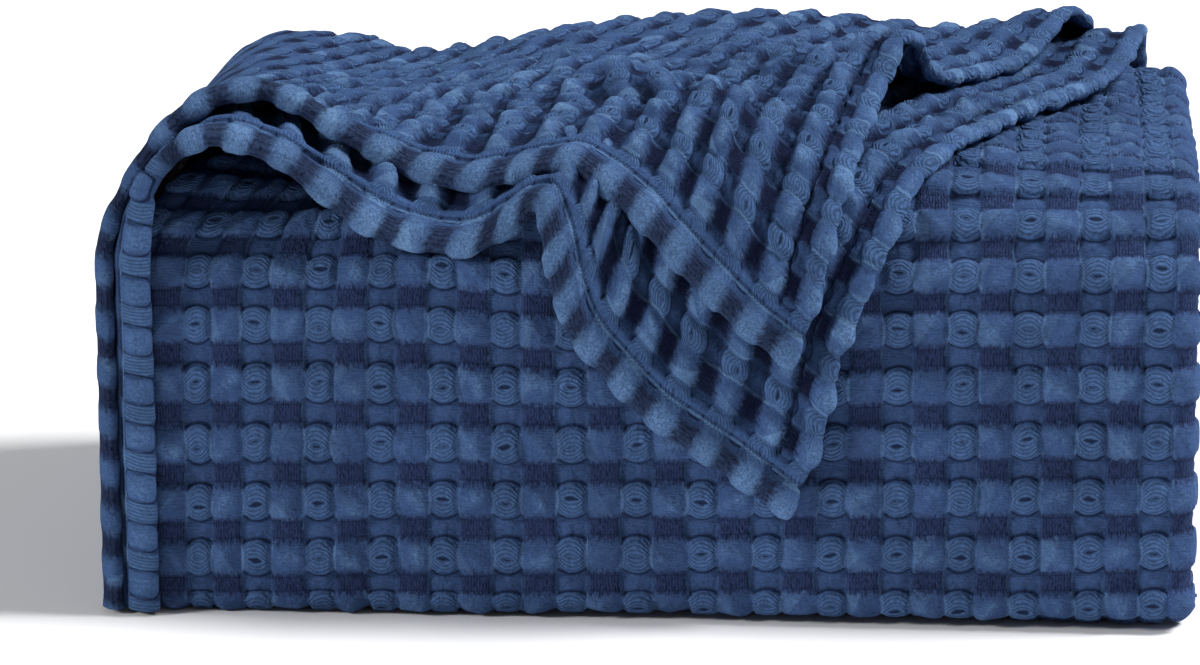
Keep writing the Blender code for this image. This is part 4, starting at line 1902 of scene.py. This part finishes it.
@dataclass(frozen=True)
class Softbox:
    """A large soft light, far enough away to light the whole floor evenly.

    Attributes:
        side: Where it stands.
        towards: The direction from the blanket to it.
        strength: Its strength in watts per square metre.
        spread: How wide it looks from the blanket, in degrees.
    """

    side: Side
    towards: tuple[float, float, float]
    strength: float
    spread: float

    def build(self) -> None:
        """Adds the light and turns it to the blanket."""
        data = bpy.data.lights.new("softbox_" + self.side.value, "SUN")
        data.energy = self.strength
        data.angle = math.radians(self.spread)
        light = bpy.data.objects.new(data.name, data)
        bpy.context.scene.collection.objects.link(light)
        towards = Vector(self.towards).normalized()
        light.location = towards * 2.0
        light.rotation_euler = (-towards).to_track_quat("-Z", "Y").to_euler()


@dataclass(frozen=True)
class Studio:
    """The floor, the lights and the camera.

    Attributes:
        azimuth, elevation: Where the camera stands, in degrees.
        distance: How far it is from its target.
        target: What it looks at, in the stack's frame.
        lens: Its focal length on a 36 mm sensor, in millimetres.
        sky: Strength of the light from all round.
        softboxes: The lights.
    """

    azimuth: float = 4.5
    elevation: float = 13.0
    distance: float = 2.0
    target: tuple[float, float, float] = (-0.0185, -0.14, 0.1125)
    lens: float = 160.2
    sky: float = 0.20
    softboxes: tuple[Softbox, ...] = (
        Softbox(Side.RIGHT, (0.66, 0.08, 0.72), 4.9, 20.0),
        Softbox(Side.LEFT, (-0.80, -0.42, 0.40), 2.1, 12.0),
    )

    def build(self) -> None:
        """Adds everything round the blanket."""
        self.add_floor()
        for softbox in self.softboxes:
            softbox.build()
        self.add_camera()
        world = bpy.data.worlds.new("studio")
        world.use_nodes = True
        back = world.node_tree.nodes["Background"]
        back.inputs["Color"].default_value = (1.0, 1.0, 1.0, 1.0)
        back.inputs["Strength"].default_value = self.sky
        bpy.context.scene.world = world
        bpy.context.scene.view_settings.view_transform = "Standard"

    def add_floor(self) -> None:
        """Adds a flat pale floor."""
        bpy.ops.object.select_all(action="DESELECT")
        bpy.ops.mesh.primitive_plane_add(size=12.0, location=(0.0, 0.0, -0.0005))
        floor = bpy.context.object
        floor.name = "floor"
        material = bpy.data.materials.new("pale_floor")
        material.use_nodes = True
        shader = material.node_tree.nodes["Principled BSDF"]
        shader.inputs["Base Color"].default_value = (0.92, 0.92, 0.93, 1.0)
        shader.inputs["Roughness"].default_value = 0.7
        floor.data.materials.append(material)

    def add_camera(self) -> None:
        """Adds the camera at the photograph's angle."""
        data = bpy.data.cameras.new("camera")
        data.sensor_width = 36.0
        data.lens = self.lens
        data.clip_start = 0.05
        camera = bpy.data.objects.new("camera", data)
        bpy.context.scene.collection.objects.link(camera)
        a, e = math.radians(self.azimuth), math.radians(self.elevation)
        back = np.array([math.sin(a) * math.cos(e), -math.cos(a) * math.cos(e), math.sin(e)])
        camera.location = np.array(self.target) + STACK_FRAME + back * self.distance
        camera.rotation_euler = (-Vector(back)).to_track_quat("-Z", "Y").to_euler()
        bpy.context.scene.camera = camera


# Across, where the sheets reach the floor at the left.
LEFT_FLOOR = -0.3532

# The sheets' hems and back edges. Columns: across, up, lift.
LOWER_LEFT_HEM: Table = (
    (0.052, 0.043, 0.005),
    (0.031, 0.057, 0.005),
    (0.001, 0.077, 0.006),
    (-0.016, 0.095, 0.008),
    (-0.027, 0.109, 0.011),
    (-0.034, 0.124, 0.013),
    (-0.038, 0.138, 0.014),
    (-0.043, 0.152, 0.014),
    (-0.053, 0.148, 0.009),
    (-0.067, 0.143, 0.007),
    (-0.083, 0.146, 0.006),
    (-0.096, 0.150, 0.007),
    (-0.112, 0.151, 0.011),
    (-0.130, 0.150, 0.013),
    (-0.146, 0.150, 0.017),
    (-0.162, 0.148, 0.019),
    (-0.176, 0.147, 0.013),
    (-0.192, 0.144, 0.007),
    (-0.216, 0.139, 0.0042),
    (LEFT_FLOOR, 0.1375, 0.0040),
)
UPPER_LEFT_HEM: Table = (
    (0.053, 0.100, 0.011),
    (0.041, 0.108, 0.011),
    (0.027, 0.118, 0.011),
    (0.010, 0.132, 0.011),
    (-0.006, 0.148, 0.011),
    (-0.018, 0.158, 0.011),
    (-0.032, 0.168, 0.012),
    (-0.048, 0.167, 0.012),
    (-0.071, 0.166, 0.012),
    (-0.091, 0.174, 0.014),
    (-0.107, 0.177, 0.023),
    (-0.127, 0.175, 0.031),
    (-0.147, 0.172, 0.036),
    (-0.160, 0.168, 0.033),
    (-0.172, 0.162, 0.023),
    (-0.186, 0.156, 0.014),
    (-0.203, 0.152, 0.0088),
    (-0.222, 0.150, 0.0070),
    (LEFT_FLOOR, 0.1475, 0.0051),
)
LOWER_RIGHT_HEM: Table = (
    (0.052, 0.043, 0.005),
    (0.062, 0.063, 0.005),
    (0.069, 0.092, 0.005),
    (0.075, 0.112, 0.005),
    (0.087, 0.138, 0.006),
    (0.101, 0.169, 0.006),
    (0.122, 0.208, 0.006),
    (0.142, 0.270, 0.006),
    (0.162, 0.308, 0.007),
    (0.178, 0.352, 0.009),
    (0.188, 0.405, 0.016),
    (0.190, 0.453, 0.008),
)
UPPER_RIGHT_HEM: Table = (
    (0.053, 0.100, 0.011),
    (0.061, 0.116, 0.011),
    (0.067, 0.138, 0.012),
    (0.072, 0.154, 0.013),
    (0.077, 0.176, 0.012),
    (0.083, 0.205, 0.013),
    (0.090, 0.232, 0.026),
    (0.098, 0.252, 0.030),
    (0.106, 0.272, 0.015),
    (0.122, 0.306, 0.012),
    (0.140, 0.340, 0.013),
    (0.152, 0.368, 0.022),
    (0.160, 0.390, 0.026),
    (0.168, 0.420, 0.015),
    (0.174, 0.478, 0.010),
)
LOWER_BACK_EDGE: Table = (
    (0.190, 0.453, -0.007),
    (0.080, 0.453, -0.007),
    (-0.045, 0.453, -0.007),
    (-0.075, 0.449, -0.002),
    (-0.105, 0.440, 0.004),
    (-0.135, 0.426, 0.005),
    (-0.170, 0.414, 0.005),
    (-0.230, 0.410, 0.005),
    (LEFT_FLOOR, 0.410, 0.005),
)
UPPER_BACK_EDGE: Table = (
    (0.174, 0.478, -0.007),
    (0.080, 0.478, -0.007),
    (-0.045, 0.478, -0.007),
    (-0.075, 0.472, 0.000),
    (-0.105, 0.457, 0.008),
    (-0.135, 0.436, 0.0105),
    (-0.170, 0.420, 0.0105),
    (-0.230, 0.416, 0.010),
    (LEFT_FLOOR, 0.416, 0.009),
)

# The sheets' soft ridges (+) and troughs (-).
# Columns: from across, from up, to across, to up, width, height.
LOWER_CREASES: Table = (
    (0.030, 0.100, 0.078, 0.170, 0.009, 0.002),
    (-0.112, 0.196, -0.166, 0.190, 0.016, 0.015),
    (-0.160, 0.167, -0.100, 0.168, 0.009, 0.007),
)
UPPER_CREASES: Table = (
    (-0.024, 0.340, 0.006, 0.262, 0.010, -0.002),
    (0.006, 0.262, 0.042, 0.212, 0.010, -0.002),
    (-0.050, 0.330, -0.016, 0.248, 0.014, 0.004),
    (-0.016, 0.248, 0.024, 0.196, 0.013, 0.005),
    (0.024, 0.196, 0.036, 0.150, 0.012, 0.004),
    (0.020, 0.330, 0.048, 0.262, 0.015, 0.005),
    (0.048, 0.262, 0.070, 0.215, 0.012, 0.005),
    (-0.060, 0.380, 0.070, 0.390, 0.022, 0.003),
    (0.088, 0.238, 0.062, 0.262, 0.012, 0.006),
)


def main() -> None:
    """Builds the studio and then the blanket, from the inside out."""
    logging.basicConfig(level=logging.INFO, format="%(name)s: %(message)s")
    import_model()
    Studio().build()
    stack = Stack()
    InnerLayers(stack).build(TAUT_COTTON)
    OuterLayer(stack).build(TAUT_COTTON)
    TopSheet("lower_sheet", stack, LOWER_LEFT_HEM, LOWER_RIGHT_HEM, LOWER_BACK_EDGE,
             LOWER_CREASES, resting_lift=0.005, covered_from=0.055,
             slip=(0.312, 0.330)).build(LOOSE_COTTON)
    TopSheet("upper_sheet", stack, UPPER_LEFT_HEM, UPPER_RIGHT_HEM, UPPER_BACK_EDGE,
             UPPER_CREASES, resting_lift=0.0105).build(LOOSE_COTTON)
    bpy.context.view_layer.update()


if __name__ == "__main__":
    main()
